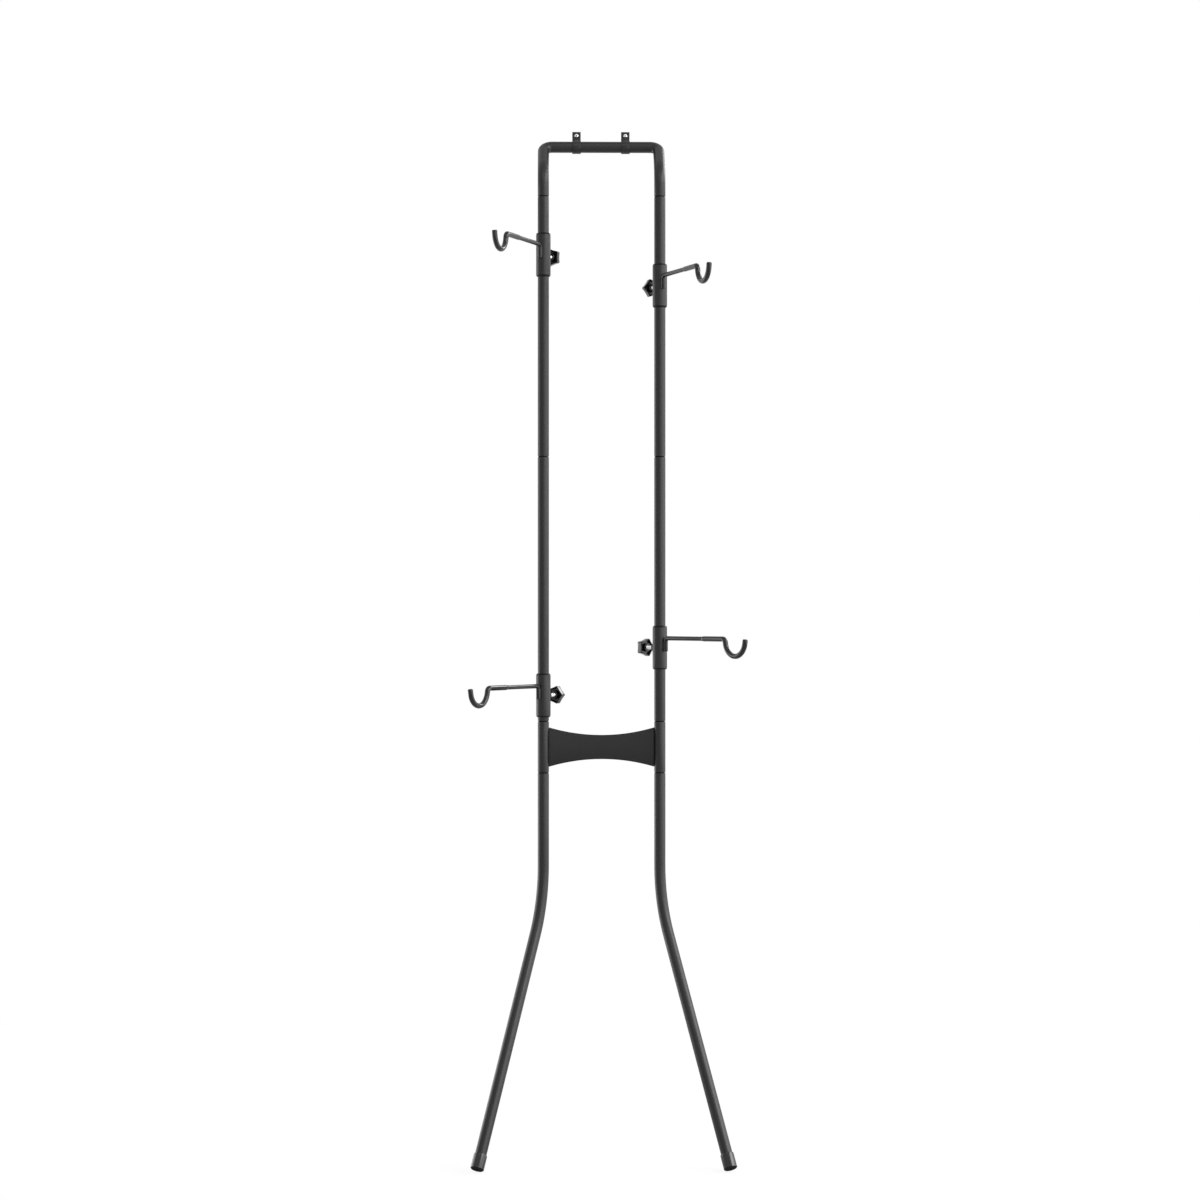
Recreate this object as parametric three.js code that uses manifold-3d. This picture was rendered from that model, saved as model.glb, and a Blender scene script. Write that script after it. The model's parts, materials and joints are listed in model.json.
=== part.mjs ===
// Two tier bike rack: two tall poles on splayed legs lean on a wall and carry four hooked arms.
// Each arm slides up and down its pole, swings round it and is clamped by a star knob at its back.
// Millimetres, +Z up, the front faces -Y and the wall is at +Y. Left and right are as seen from the front.

import * as THREE from "three";
import { mergeVertices } from "three/addons/utils/BufferGeometryUtils.js";
import Module from "manifold-3d";

const wasm = await Module();
wasm.setup();

// Steel tube and its swaged joints
const tubeRadius = 11.6;
const tubeWall = 1.2;
const fitGap = 0.3;
const spigotLength = 50;
const spigotWall = 1.2;
const swageLength = 6;
const seamChamfer = 0.8;

// Poles, from the floor upward
const poleSpacing = 240;
const legSeamHeight = 772.5;
const braceTubeLength = 106;
const middlePoleLength = 545;
const upperPoleLength = 536;

// Top bow
const bowStraightLength = 20;
const bowBendRadius = 64;
const bowLean = THREE.MathUtils.degToRad(50);
const bowSlopeLength = 68.4;
const bowCornerRadius = 18;

// Brace plate
const plateThickness = 3;
const plateEndHeight = 81;
const plateMiddleHeight = 49.6;

// Legs
const legCornerHeight = 507.5;
const legBendRadius = 273;
const legTilt = THREE.MathUtils.degToRad(30.9);
const legTurn = THREE.MathUtils.degToRad(25.7);

// Foot caps
const capWall = 1.7;
const capGripLength = 27;
const capEndThickness = 4;
const capChamfer = 1.5;

// Wall clips
const clipOffset = 51;
const clipWidth = 17.5;
const clipThickness = 2;
const clipTabHeight = 33.4;
const clipHoleHeight = 25.2;
const clipHoleRadius = 2.7;

// Wall screws
const wallHeadRadius = 3.9;
const wallHeadHeight = 2.6;
const wallHeadEdge = 1.2;
const wallHeadFlatRadius = 2.1;
const recessLength = 4.4;
const recessWidth = 1.3;
const recessDepth = 1.6;

// Arm places: how far the upper sleeves hang below the bow's seam, and the lower ones stand
// above the brace plate, each to the nearer end of the sleeve's bushes
const upperLeftDrop = 75.4;
const upperRightDrop = 138.6;
const lowerLeftRise = 21.1;
const lowerRightRise = 119.3;

// Sleeve and its two end bushes
const sleeveLength = 84;
const sleeveWall = 1.8;
const sleeveChamfer = 0.6;
const bushWall = 1;
const bushInsertLength = 14;
const collarHeight = 2.7;
const collarInset = 0.35;
const collarEdge = 0.9;

// Arm rod
const rodRadius = 4.5;
const rodHeight = 19.4;
const rodLegLength = 27.1;
const rodBendRadius = 7;
const armReach = 212;
const hookMouth = 64;
const hookDepth = 34.2;
const hookLean = THREE.MathUtils.degToRad(10);
const hookNeckRadius = 8.5;

// Hook cover
const coverStart = 142;
const coverWall = 0.6;
const coverTipThickness = 2;
const coverTaperLength = 4;
const coverTaperDepth = 0.3;

// Clamp nut, screw and star knob
const nutFlats = 13;
const nutLength = 6.5;
const screwRadius = 4;
const screwShowing = 18.45;
const screwChamfer = 0.8;
const hubRadius = 8;
const hubLength = 2;
const knobThickness = 13;
const knobRadius = 18.8;
const knobValleyRadius = 15.2;
const knobTipAngle = THREE.MathUtils.degToRad(4);
const knobBevel = 1.5;
const knobFloor = 2.5;

// Cutting tools run past what they cut by this much
const overrun = 1;

// Facets and bend steps
const tubeSides = 16;
const rodSides = 8;
const coverSides = 10;
const screwSides = 10;
const wallScrewSides = 12;
const legBendSteps = 4;
const bowBendSteps = 3;
const bowCornerSteps = 4;
const rodBendSteps = 4;
const hookNeckSteps = 4;
const hookBottomSteps = 8;
const plateArcSteps = 8;
const knobLobes = 5;
const knobSideSteps = 4;

// Sizes that follow from the ones above
const tubeBore = tubeRadius - tubeWall;
const spigotRadius = tubeBore - fitGap;
const spigotBore = spigotRadius - spigotWall;
const poleX = poleSpacing / 2;
const middleSeamHeight = legSeamHeight + braceTubeLength;
const upperSeamHeight = middleSeamHeight + middlePoleLength;
const bowSeamHeight = upperSeamHeight + upperPoleLength;
const bowCornerHeight = bowSeamHeight + bowStraightLength + bowBendRadius * Math.tan(bowLean / 2);
const bowSlopeReach = bowSlopeLength + bowBendRadius * Math.tan(bowLean / 2);
const barY = bowSlopeReach * Math.sin(bowLean);
const barHeight = bowCornerHeight + bowSlopeReach * Math.cos(bowLean);
const clipBore = tubeRadius + fitGap;
const clipRadius = clipBore + clipThickness;
const clipTabFront = clipBore - fitGap - clipThickness;
const wallY = barY + clipRadius;
const capBore = tubeRadius + fitGap;
const capRadius = capBore + capWall;
const capLength = capEndThickness + capGripLength;
const footDrop = (capRadius - capChamfer) * Math.sin(legTilt);
const bushBore = tubeRadius + fitGap;
const bushRadius = bushBore + bushWall;
const sleeveBore = bushRadius + fitGap;
const sleeveRadius = sleeveBore + sleeveWall;
const collarRadius = sleeveRadius - collarInset;
const armHalfLength = sleeveLength / 2 + fitGap + collarHeight;
const plateHeight = legSeamHeight + braceTubeLength / 2;
const plateTop = plateHeight + plateEndHeight / 2;
const upperLeftHeight = bowSeamHeight - upperLeftDrop - armHalfLength;
const upperRightHeight = bowSeamHeight - upperRightDrop - armHalfLength;
const lowerLeftHeight = plateTop + lowerLeftRise + armHalfLength;
const lowerRightHeight = plateTop + lowerRightRise + armHalfLength;
const rodOffset = sleeveRadius + fitGap + rodRadius;
const coverBore = rodRadius + fitGap;
const coverRadius = coverBore + coverWall;
const screwBore = screwRadius + fitGap;
const screwStart = tubeRadius + fitGap;
const nutStart = sleeveRadius + fitGap;
const knobStart = nutStart + nutLength + screwShowing;
const knobEnd = knobStart + hubLength + knobThickness;
const screwEnd = knobEnd - knobFloor - fitGap;

// Colours as photographed: satin black powder coat, glossy black plastic and vinyl, bright steel
const powderCoat = { color: 0x2b2d30, roughness: 0.42, metalness: 0.35 };
const platePaint = { color: 0x303236, roughness: 0.45, metalness: 0.35 };
const blackNylon = { color: 0x1b1c1e, roughness: 0.5, metalness: 0 };
const blackVinyl = { color: 0x0d0e10, roughness: 0.25, metalness: 0 };
const blackRubber = { color: 0x141516, roughness: 0.55, metalness: 0 };
const knobPlastic = { color: 0x101113, roughness: 0.3, metalness: 0 };
const brightZinc = { color: 0xc9cbcd, roughness: 0.28, metalness: 1 };

// The corners of a regular polygon, counter-clockwise, the first on the shape's first axis.
function polygonPoints(radius, sides) {
  return Array.from({ length: sides }, (_, side) => {
    const angle = (2 * Math.PI * side) / sides;
    return new THREE.Vector2(radius * Math.cos(angle), radius * Math.sin(angle));
  });
}

function roundShape(radius, sides) {
  return new THREE.Shape(polygonPoints(radius, sides));
}

function ringShape(radius, bore, sides) {
  const shape = roundShape(radius, sides);
  shape.holes.push(new THREE.Path(polygonPoints(bore, sides)));
  return shape;
}

// A turned piece about the Z axis. Each profile point is its radius and height, outer side upward.
function turned(profile, sides) {
  const points = profile.map(([radius, height]) => new THREE.Vector2(radius, height));
  if (points[0].x > 0) points.push(points[0].clone());
  return new THREE.LatheGeometry(points, sides).rotateX(Math.PI / 2);
}

// A closed mesh as a solid that can be joined and cut.
function toSolid(geometry) {
  const bare = geometry.clone();
  bare.deleteAttribute("normal");
  bare.deleteAttribute("uv");
  const merged = mergeVertices(bare);
  const corners = Array.from(merged.index.array);
  const kept = [];
  for (let i = 0; i < corners.length; i += 3) {
    const [a, b, c] = corners.slice(i, i + 3);
    if (a !== b && b !== c && c !== a) kept.push(a, b, c);
  }
  return new wasm.Manifold(
    new wasm.Mesh({
      numProp: 3,
      vertProperties: new Float32Array(merged.attributes.position.array),
      triVerts: new Uint32Array(kept),
    }),
  );
}

function fromSolid(solid) {
  const { numProp, vertProperties, triVerts } = solid.getMesh();
  const count = vertProperties.length / numProp;
  const positions = new Float32Array(count * 3);
  for (let i = 0; i < count; i += 1) {
    positions.set(vertProperties.subarray(i * numProp, i * numProp + 3), i * 3);
  }
  const geometry = new THREE.BufferGeometry();
  geometry.setAttribute("position", new THREE.BufferAttribute(positions, 3));
  geometry.setIndex(new THREE.BufferAttribute(new Uint32Array(triVerts), 1));
  geometry.computeVertexNormals();
  return geometry;
}

function joinedGeometry(geometries) {
  return fromSolid(geometries.map(toSolid).reduce((whole, next) => whole.add(next)));
}

function cutGeometry(geometry, cutters) {
  return fromSolid(cutters.map(toSolid).reduce((left, cutter) => left.subtract(cutter), toSolid(geometry)));
}

// A path that stops only at the given stations, each a point with the direction of travel there.
class StationPath extends THREE.Curve {
  constructor(stations) {
    super();
    this.stations = stations;
  }

  stationAt(share) {
    return this.stations[Math.round(share * (this.stations.length - 1))];
  }

  getPointAt(share, target = new THREE.Vector3()) {
    return target.copy(this.stationAt(share).point);
  }

  getTangentAt(share, target = new THREE.Vector3()) {
    return target.copy(this.stationAt(share).tangent);
  }
}

// The stations of a bent bar: straight runs between corners, each inner corner rounded by its bend.
function bentPath(corners, bends) {
  const directions = corners.slice(1).map((corner, i) => corner.clone().sub(corners[i]).normalize());
  const stations = [{ point: corners[0], tangent: directions[0] }];
  bends.forEach(({ radius, steps }, i) => {
    const arriving = directions[i];
    const leaving = directions[i + 1];
    const turn = arriving.angleTo(leaving);
    const inward = leaving.clone().addScaledVector(arriving, -leaving.dot(arriving)).normalize();
    const start = corners[i + 1].clone().addScaledVector(arriving, -radius * Math.tan(turn / 2));
    const centre = start.addScaledVector(inward, radius);
    for (let step = 0; step <= steps; step += 1) {
      const angle = (turn * step) / steps;
      const point = centre.clone();
      point.addScaledVector(inward, -radius * Math.cos(angle));
      point.addScaledVector(arriving, radius * Math.sin(angle));
      const tangent = arriving.clone().multiplyScalar(Math.cos(angle));
      tangent.addScaledVector(inward, Math.sin(angle));
      stations.push({ point, tangent });
    }
  });
  stations.push({ point: corners[corners.length - 1], tangent: directions[directions.length - 1] });
  return stations;
}

function swept(shape, stations) {
  return new THREE.ExtrudeGeometry(shape, {
    steps: stations.length - 1,
    bevelEnabled: false,
    extrudePath: new StationPath(stations),
  });
}

// A ring that bevels a round bar's end about the Z axis. The bevel is depth wide on the end face
// and length long on the side; rise is 1 where the end faces up and -1 where it faces down.
function endBeveller(radius, depth, length, endHeight, rise, sides) {
  const depthOver = depth * (overrun / length);
  const inner = [radius - depth - depthOver, endHeight + rise * overrun];
  const outer = [radius + depthOver, endHeight - rise * (length + overrun)];
  const corner = [radius + depthOver, endHeight + rise * overrun];
  return turned(rise > 0 ? [inner, outer, corner] : [inner, corner, outer], sides);
}

// A straight tube whose lower end is swaged down to a spigot. Its lower seam is at height zero.
function poleGeometry(length) {
  return turned(
    [
      [spigotBore, -spigotLength],
      [spigotRadius, -spigotLength],
      [spigotRadius, fitGap],
      [tubeRadius - seamChamfer, fitGap],
      [tubeRadius, fitGap + seamChamfer],
      [tubeRadius, length - seamChamfer],
      [tubeRadius - seamChamfer, length],
      [tubeBore, length],
      [tubeBore, fitGap + swageLength],
      [spigotBore, fitGap],
    ],
    tubeSides,
  );
}

// One tube bent into a U whose uprights lean back to the crossbar, with a swaged spigot at each foot.
function topBowGeometry() {
  const foot = bowSeamHeight + fitGap;
  const corners = [
    new THREE.Vector3(-poleX, 0, foot),
    new THREE.Vector3(-poleX, 0, bowCornerHeight),
    new THREE.Vector3(-poleX, barY, barHeight),
    new THREE.Vector3(poleX, barY, barHeight),
    new THREE.Vector3(poleX, 0, bowCornerHeight),
    new THREE.Vector3(poleX, 0, foot),
  ];
  const lean = { radius: bowBendRadius, steps: bowBendSteps };
  const corner = { radius: bowCornerRadius, steps: bowCornerSteps };
  const stations = bentPath(corners, [lean, corner, corner, lean]);
  const bow = swept(ringShape(tubeRadius, tubeBore, tubeSides), stations);
  const rootRadius = tubeBore + tubeWall / 2;
  const rootHeight = fitGap + seamChamfer;
  const spigot = turned(
    [
      [spigotBore, -spigotLength],
      [spigotRadius, -spigotLength],
      [spigotRadius, rootHeight],
      [rootRadius, rootHeight],
      [rootRadius, fitGap + swageLength],
      [tubeBore, fitGap + swageLength],
      [spigotBore, fitGap],
    ],
    tubeSides,
  );
  const beveller = endBeveller(tubeRadius, seamChamfer, seamChamfer, fitGap, -1, tubeSides);
  const atFoot = (geometry, x) => geometry.clone().translate(x, 0, bowSeamHeight);
  const bevelled = cutGeometry(bow, [atFoot(beveller, -poleX), atFoot(beveller, poleX)]);
  return joinedGeometry([bevelled, atFoot(spigot, -poleX), atFoot(spigot, poleX)]);
}

// The plate between the brace tubes, hollowed along its top and bottom edges.
function bracePlateGeometry() {
  const halfLength = poleX - tubeRadius - fitGap;
  const hollow = (plateEndHeight - plateMiddleHeight) / 2;
  const arcRadius = (halfLength ** 2 + hollow ** 2) / (2 * hollow);
  const halfAngle = Math.asin(halfLength / arcRadius);
  const top = Array.from({ length: plateArcSteps + 1 }, (_, step) => {
    const angle = halfAngle * (1 - (2 * step) / plateArcSteps);
    const height = plateMiddleHeight / 2 + arcRadius * (1 - Math.cos(angle));
    return new THREE.Vector2(arcRadius * Math.sin(angle), height);
  });
  const bottom = top.map((point) => new THREE.Vector2(-point.x, -point.y));
  const plate = new THREE.ExtrudeGeometry(new THREE.Shape([...top, ...bottom]), {
    depth: plateThickness,
    bevelEnabled: false,
  });
  return plate.translate(0, 0, -plateThickness / 2).rotateX(Math.PI / 2);
}

// The way a leg points below its bend: down, forward and outward.
function legDirection(side) {
  return new THREE.Vector3(
    side * Math.sin(legTilt) * Math.sin(legTurn),
    -Math.sin(legTilt) * Math.cos(legTurn),
    -Math.cos(legTilt),
  );
}

// The middle of a foot cap's end face, which rests on the floor by its lower rim.
function footPoint(side) {
  const drop = legCornerHeight - footDrop;
  const corner = new THREE.Vector3(side * poleX, 0, legCornerHeight);
  return corner.addScaledVector(legDirection(side), drop / Math.cos(legTilt));
}

function legGeometry(side) {
  const corners = [
    new THREE.Vector3(side * poleX, 0, legSeamHeight),
    new THREE.Vector3(side * poleX, 0, legCornerHeight),
    footPoint(side).addScaledVector(legDirection(side), -(capEndThickness + fitGap)),
  ];
  const stations = bentPath(corners, [{ radius: legBendRadius, steps: legBendSteps }]);
  const leg = swept(ringShape(tubeRadius, tubeBore, tubeSides), stations);
  const beveller = endBeveller(tubeRadius, seamChamfer, seamChamfer, legSeamHeight, 1, tubeSides);
  return cutGeometry(leg, [beveller.translate(side * poleX, 0, 0)]);
}

// A round cap with its closed end at height zero and its mouth up.
function footCapGeometry() {
  return turned(
    [
      [0, 0],
      [capRadius - capChamfer, 0],
      [capRadius, capChamfer],
      [capRadius, capLength],
      [capBore, capLength],
      [capBore, capEndThickness],
      [0, capEndThickness],
    ],
    tubeSides,
  );
}

// A strap bent round the crossbar, its two ends laid together into a tab that rises at the wall.
function wallClipGeometry() {
  const arc = (radius, from, to) =>
    Array.from({ length: tubeSides + 1 }, (_, step) => {
      const angle = from + ((to - from) * step) / tubeSides;
      return new THREE.Vector2(radius * Math.cos(angle), radius * Math.sin(angle));
    });
  const slotFront = clipBore - fitGap;
  const innerEnd = Math.acos(slotFront / clipBore);
  const outerStart = Math.acos(clipTabFront / clipRadius);
  const outline = [
    ...arc(clipRadius, outerStart, 2 * Math.PI),
    new THREE.Vector2(clipRadius, clipTabHeight),
    new THREE.Vector2(clipBore, clipTabHeight),
    ...arc(clipBore, 2 * Math.PI, innerEnd),
    new THREE.Vector2(slotFront, clipTabHeight),
    new THREE.Vector2(clipTabFront, clipTabHeight),
  ];
  const strap = new THREE.ExtrudeGeometry(new THREE.Shape(outline), { depth: clipWidth, bevelEnabled: false });
  const acrossBar = new THREE.Matrix4().makeBasis(
    new THREE.Vector3(0, 1, 0),
    new THREE.Vector3(0, 0, 1),
    new THREE.Vector3(1, 0, 0),
  );
  strap.translate(0, 0, -clipWidth / 2).applyMatrix4(acrossBar);
  const holeLength = clipRadius + overrun;
  const hole = new THREE.CylinderGeometry(clipHoleRadius, clipHoleRadius, holeLength, wallScrewSides);
  hole.translate(0, holeLength / 2, clipHoleHeight);
  return cutGeometry(strap, [hole]);
}

// A pan head screw with a cross recess, pointing at the wall, its shank ending at the wall's face.
function wallScrewGeometry() {
  const shankRadius = clipHoleRadius - fitGap;
  const shankLength = clipRadius - clipTabFront + fitGap;
  const top = shankLength + wallHeadHeight;
  const screw = turned(
    [
      [0, 0],
      [shankRadius, 0],
      [shankRadius, shankLength],
      [wallHeadRadius, shankLength],
      [wallHeadRadius, shankLength + wallHeadEdge],
      [wallHeadFlatRadius, top],
      [0, top],
    ],
    wallScrewSides,
  );
  const recessHeight = recessDepth + overrun;
  const slot = new THREE.BoxGeometry(recessLength, recessWidth, recessHeight);
  slot.translate(0, 0, top + overrun - recessHeight / 2);
  const crossSlot = slot.clone().rotateZ(Math.PI / 2);
  return cutGeometry(screw, [slot, crossSlot]).rotateX(Math.PI / 2);
}

// A bush pushed into the sleeve's upper end, its collar over the sleeve's edge at height zero.
function bushGeometry() {
  return turned(
    [
      [bushBore, -bushInsertLength],
      [bushRadius, -bushInsertLength],
      [bushRadius, fitGap],
      [collarRadius, fitGap],
      [collarRadius, fitGap + collarEdge],
      [bushRadius, fitGap + collarHeight],
      [bushBore, fitGap + collarHeight],
    ],
    tubeSides,
  );
}

// The sleeve round the pole, with a hole at its back for the clamp screw.
function sleeveGeometry() {
  const halfLength = sleeveLength / 2;
  const sleeve = turned(
    [
      [sleeveBore, -halfLength],
      [sleeveRadius - sleeveChamfer, -halfLength],
      [sleeveRadius, -halfLength + sleeveChamfer],
      [sleeveRadius, halfLength - sleeveChamfer],
      [sleeveRadius - sleeveChamfer, halfLength],
      [sleeveBore, halfLength],
    ],
    tubeSides,
  );
  const holeLength = sleeveRadius + overrun;
  const hole = new THREE.CylinderGeometry(screwBore, screwBore, holeLength, screwSides);
  return cutGeometry(sleeve, [hole.translate(0, holeLength / 2, 0)]);
}

// The corners of the arm's centreline from a run's start to the hook's tip, less a length at the tip.
function hookCorners(tipLess) {
  const apexDrop = hookMouth / 2 / Math.tan(hookLean);
  const apex = new THREE.Vector3(0, -(armReach + hookMouth / 2), rodHeight - apexDrop);
  const tip = new THREE.Vector3(0, -(armReach + hookMouth), rodHeight);
  const back = apex.clone().sub(tip).normalize();
  return [new THREE.Vector3(0, -armReach, rodHeight), apex, tip.addScaledVector(back, tipLess)];
}

const hookBottomRadius =
  ((hookMouth / 2) * Math.cos(hookLean) - hookDepth * Math.sin(hookLean)) / (1 - Math.sin(hookLean));
const hookBends = [
  { radius: hookNeckRadius, steps: hookNeckSteps },
  { radius: hookBottomRadius, steps: hookBottomSteps },
];

// Round rod: an upright leg on the sleeve's front, a straight run forward, and the hook.
function armRodGeometry() {
  const corners = [
    new THREE.Vector3(0, -rodOffset, rodHeight - rodLegLength),
    new THREE.Vector3(0, -rodOffset, rodHeight),
    ...hookCorners(coverTipThickness + fitGap),
  ];
  const bends = [{ radius: rodBendRadius, steps: rodBendSteps }, ...hookBends];
  return swept(roundShape(rodRadius, rodSides), bentPath(corners, bends));
}

// A soft tube over the rod's outer run and hook, closed at the tip and tapered at its start.
function hookCoverGeometry() {
  const path = (start, tipLess) =>
    bentPath([new THREE.Vector3(0, -start, rodHeight), ...hookCorners(tipLess)], hookBends);
  const skin = swept(roundShape(coverRadius, coverSides), path(coverStart, 0));
  const bore = swept(roundShape(coverBore, rodSides), path(coverStart - overrun, coverTipThickness));
  const taper = endBeveller(coverRadius, coverTaperDepth, coverTaperLength, 0, 1, tubeSides);
  taper.rotateX(-Math.PI / 2).translate(0, -coverStart, rodHeight);
  return cutGeometry(skin, [bore, taper]);
}

// A hexagon nut on the sleeve's back, its hole on the clamp screw's axis.
function clampNutGeometry() {
  const shape = roundShape(nutFlats / 2 / Math.cos(Math.PI / 6), 6);
  shape.holes.push(new THREE.Path(polygonPoints(screwBore, screwSides)));
  const nut = new THREE.ExtrudeGeometry(shape, { depth: nutLength, bevelEnabled: false });
  return nut.rotateX(-Math.PI / 2).translate(0, nutStart, 0);
}

// The clamp screw reaches from the pole's surface, through sleeve and nut, into the knob.
function clampScrewGeometry() {
  const screw = turned(
    [
      [0, screwStart],
      [screwRadius - screwChamfer, screwStart],
      [screwRadius, screwStart + screwChamfer],
      [screwRadius, screwEnd],
      [0, screwEnd],
    ],
    screwSides,
  );
  return screw.rotateX(-Math.PI / 2);
}

// The star knob's outline: blunt tips with slightly hollow sides between them.
function starPoints(lobeTurn) {
  const lobeAngle = (2 * Math.PI) / knobLobes;
  const polar = (radius, angle) => new THREE.Vector2(radius * Math.cos(angle), radius * Math.sin(angle));
  const sides = Array.from({ length: knobLobes }, (_, lobe) => {
    const tip = lobeTurn + lobe * lobeAngle;
    const start = polar(knobRadius, tip + knobTipAngle);
    const end = polar(knobRadius, tip + lobeAngle - knobTipAngle);
    const valley = polar(knobValleyRadius, tip + lobeAngle / 2);
    const middle = start.clone().lerp(end, 0.5);
    const control = valley.clone().lerp(middle, -1);
    return new THREE.QuadraticBezierCurve(start, control, end).getPoints(knobSideSteps);
  });
  return sides.flat();
}

// The star knob: a bevelled star with a short round hub, and a blind hole for the screw's end.
function starKnobGeometry(lobeTurn) {
  const star = new THREE.ExtrudeGeometry(new THREE.Shape(starPoints(lobeTurn)), {
    depth: knobThickness - 2 * knobBevel,
    bevelThickness: knobBevel,
    bevelSize: knobBevel,
    bevelOffset: -knobBevel,
    bevelSegments: 1,
  });
  star.translate(0, 0, knobStart + hubLength + knobBevel);
  const hub = turned(
    [
      [0, knobStart],
      [hubRadius, knobStart],
      [hubRadius, knobStart + hubLength + knobBevel],
      [0, knobStart + hubLength + knobBevel],
    ],
    tubeSides,
  );
  const boreLength = knobEnd - knobFloor - knobStart + overrun;
  const bore = new THREE.CylinderGeometry(screwBore, screwBore, boreLength, screwSides);
  bore.rotateX(Math.PI / 2).translate(0, 0, knobEnd - knobFloor - boreLength / 2);
  return cutGeometry(joinedGeometry([star, hub]), [bore]).rotateX(-Math.PI / 2);
}

function piece(name, geometry, material) {
  const mesh = new THREE.Mesh(geometry, new THREE.MeshStandardMaterial(material));
  mesh.name = name;
  return mesh;
}

const rack = new THREE.Group();
rack.add(piece("top_bow", topBowGeometry(), powderCoat));

const bracePlate = piece("brace_plate", bracePlateGeometry(), platePaint);
bracePlate.position.z = plateHeight;
rack.add(bracePlate);

for (const [sideName, side] of [
  ["left", -1],
  ["right", 1],
]) {
  const poles = [
    ["upper_pole_", upperPoleLength, upperSeamHeight],
    ["middle_pole_", middlePoleLength, middleSeamHeight],
    ["brace_tube_", braceTubeLength, legSeamHeight],
  ];
  for (const [poleName, length, height] of poles) {
    const pole = piece(poleName + sideName, poleGeometry(length), powderCoat);
    pole.position.set(side * poleX, 0, height);
    rack.add(pole);
  }

  rack.add(piece("leg_" + sideName, legGeometry(side), powderCoat));

  const footCap = piece("foot_cap_" + sideName, footCapGeometry(), blackRubber);
  const upTheLeg = legDirection(side).negate();
  const downhill = new THREE.Vector3(0, 0, -1).addScaledVector(upTheLeg, upTheLeg.z).normalize();
  const across = upTheLeg.clone().cross(downhill);
  footCap.setRotationFromMatrix(new THREE.Matrix4().makeBasis(downhill, across, upTheLeg));
  footCap.position.copy(footPoint(side));
  rack.add(footCap);

  const clip = piece("wall_clip_" + sideName, wallClipGeometry(), powderCoat);
  clip.position.set(side * clipOffset, barY, barHeight);
  rack.add(clip);

  const wallScrew = piece("wall_screw_" + sideName, wallScrewGeometry(), brightZinc);
  wallScrew.position.set(side * clipOffset, wallY, barHeight + clipHoleHeight);
  rack.add(wallScrew);
}

// Each arm: its pole's side, the height of its sleeve, how far it swings outward from straight
// forward, and the turn of its knob's first lobe.
const arms = [
  ["upper_left", -1, upperLeftHeight, 20.3, 180],
  ["upper_right", 1, upperRightHeight, 18.6, 180],
  ["lower_left", -1, lowerLeftHeight, 31.5, 0],
  ["lower_right", 1, lowerRightHeight, 35.9, 0],
];
for (const [armName, side, height, swing, lobeTurn] of arms) {
  const arm = new THREE.Group();
  arm.position.set(side * poleX, 0, height);
  arm.rotation.z = side * THREE.MathUtils.degToRad(swing);

  const topBush = piece(armName + "_top_bush", bushGeometry(), blackNylon);
  topBush.position.z = sleeveLength / 2;
  const bottomBush = piece(armName + "_bottom_bush", bushGeometry().rotateX(Math.PI), blackNylon);
  bottomBush.position.z = -sleeveLength / 2;

  arm.add(
    topBush,
    bottomBush,
    piece(armName + "_sleeve", sleeveGeometry(), powderCoat),
    piece(armName + "_arm_rod", armRodGeometry(), powderCoat),
    piece(armName + "_hook_cover", hookCoverGeometry(), blackVinyl),
    piece(armName + "_clamp_nut", clampNutGeometry(), powderCoat),
    piece(armName + "_clamp_screw", clampScrewGeometry(), brightZinc),
    piece(armName + "_star_knob", starKnobGeometry(THREE.MathUtils.degToRad(lobeTurn)), knobPlastic),
  );
  rack.add(arm);
}

// The origin is on the floor, halfway between the wall's face and the front of the feet.
const footReach = -footPoint(1).y + capRadius * Math.sqrt(1 - legDirection(1).y ** 2);
rack.position.y = (footReach - wallY) / 2;

const bikeRack = new THREE.Group();
bikeRack.add(rack);

export default bikeRack;
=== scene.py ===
"""Two tier bike rack: smooth painted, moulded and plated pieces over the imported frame, on a pale stage."""

import json
import math

import bpy
from bpy.props import FloatProperty, FloatVectorProperty, PointerProperty
from mathutils import Matrix, Vector


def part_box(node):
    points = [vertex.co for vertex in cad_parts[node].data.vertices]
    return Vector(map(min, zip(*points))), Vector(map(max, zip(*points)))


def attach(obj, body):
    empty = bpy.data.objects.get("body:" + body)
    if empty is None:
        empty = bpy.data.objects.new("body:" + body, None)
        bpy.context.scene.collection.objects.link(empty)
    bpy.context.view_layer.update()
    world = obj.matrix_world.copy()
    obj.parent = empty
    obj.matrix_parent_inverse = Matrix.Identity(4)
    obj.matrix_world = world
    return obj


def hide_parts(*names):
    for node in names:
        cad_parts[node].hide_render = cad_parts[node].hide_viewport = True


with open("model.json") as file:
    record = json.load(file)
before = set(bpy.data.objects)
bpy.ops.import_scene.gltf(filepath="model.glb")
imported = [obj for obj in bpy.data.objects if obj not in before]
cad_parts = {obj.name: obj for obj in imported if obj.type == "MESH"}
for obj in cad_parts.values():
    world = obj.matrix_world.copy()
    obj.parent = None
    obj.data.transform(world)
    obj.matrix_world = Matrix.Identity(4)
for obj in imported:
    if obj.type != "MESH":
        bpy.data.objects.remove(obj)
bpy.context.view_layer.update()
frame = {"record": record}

bl_info = {
    "name": "Two tier bike rack",
    "version": (1, 0, 0),
    "blender": (4, 5, 0),
    "location": "3D View > Sidebar > Bike Rack",
    "description": "Builds a leaning two pole bicycle rack with four clamped, hooked arms",
    "category": "Add Mesh",
}

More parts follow.
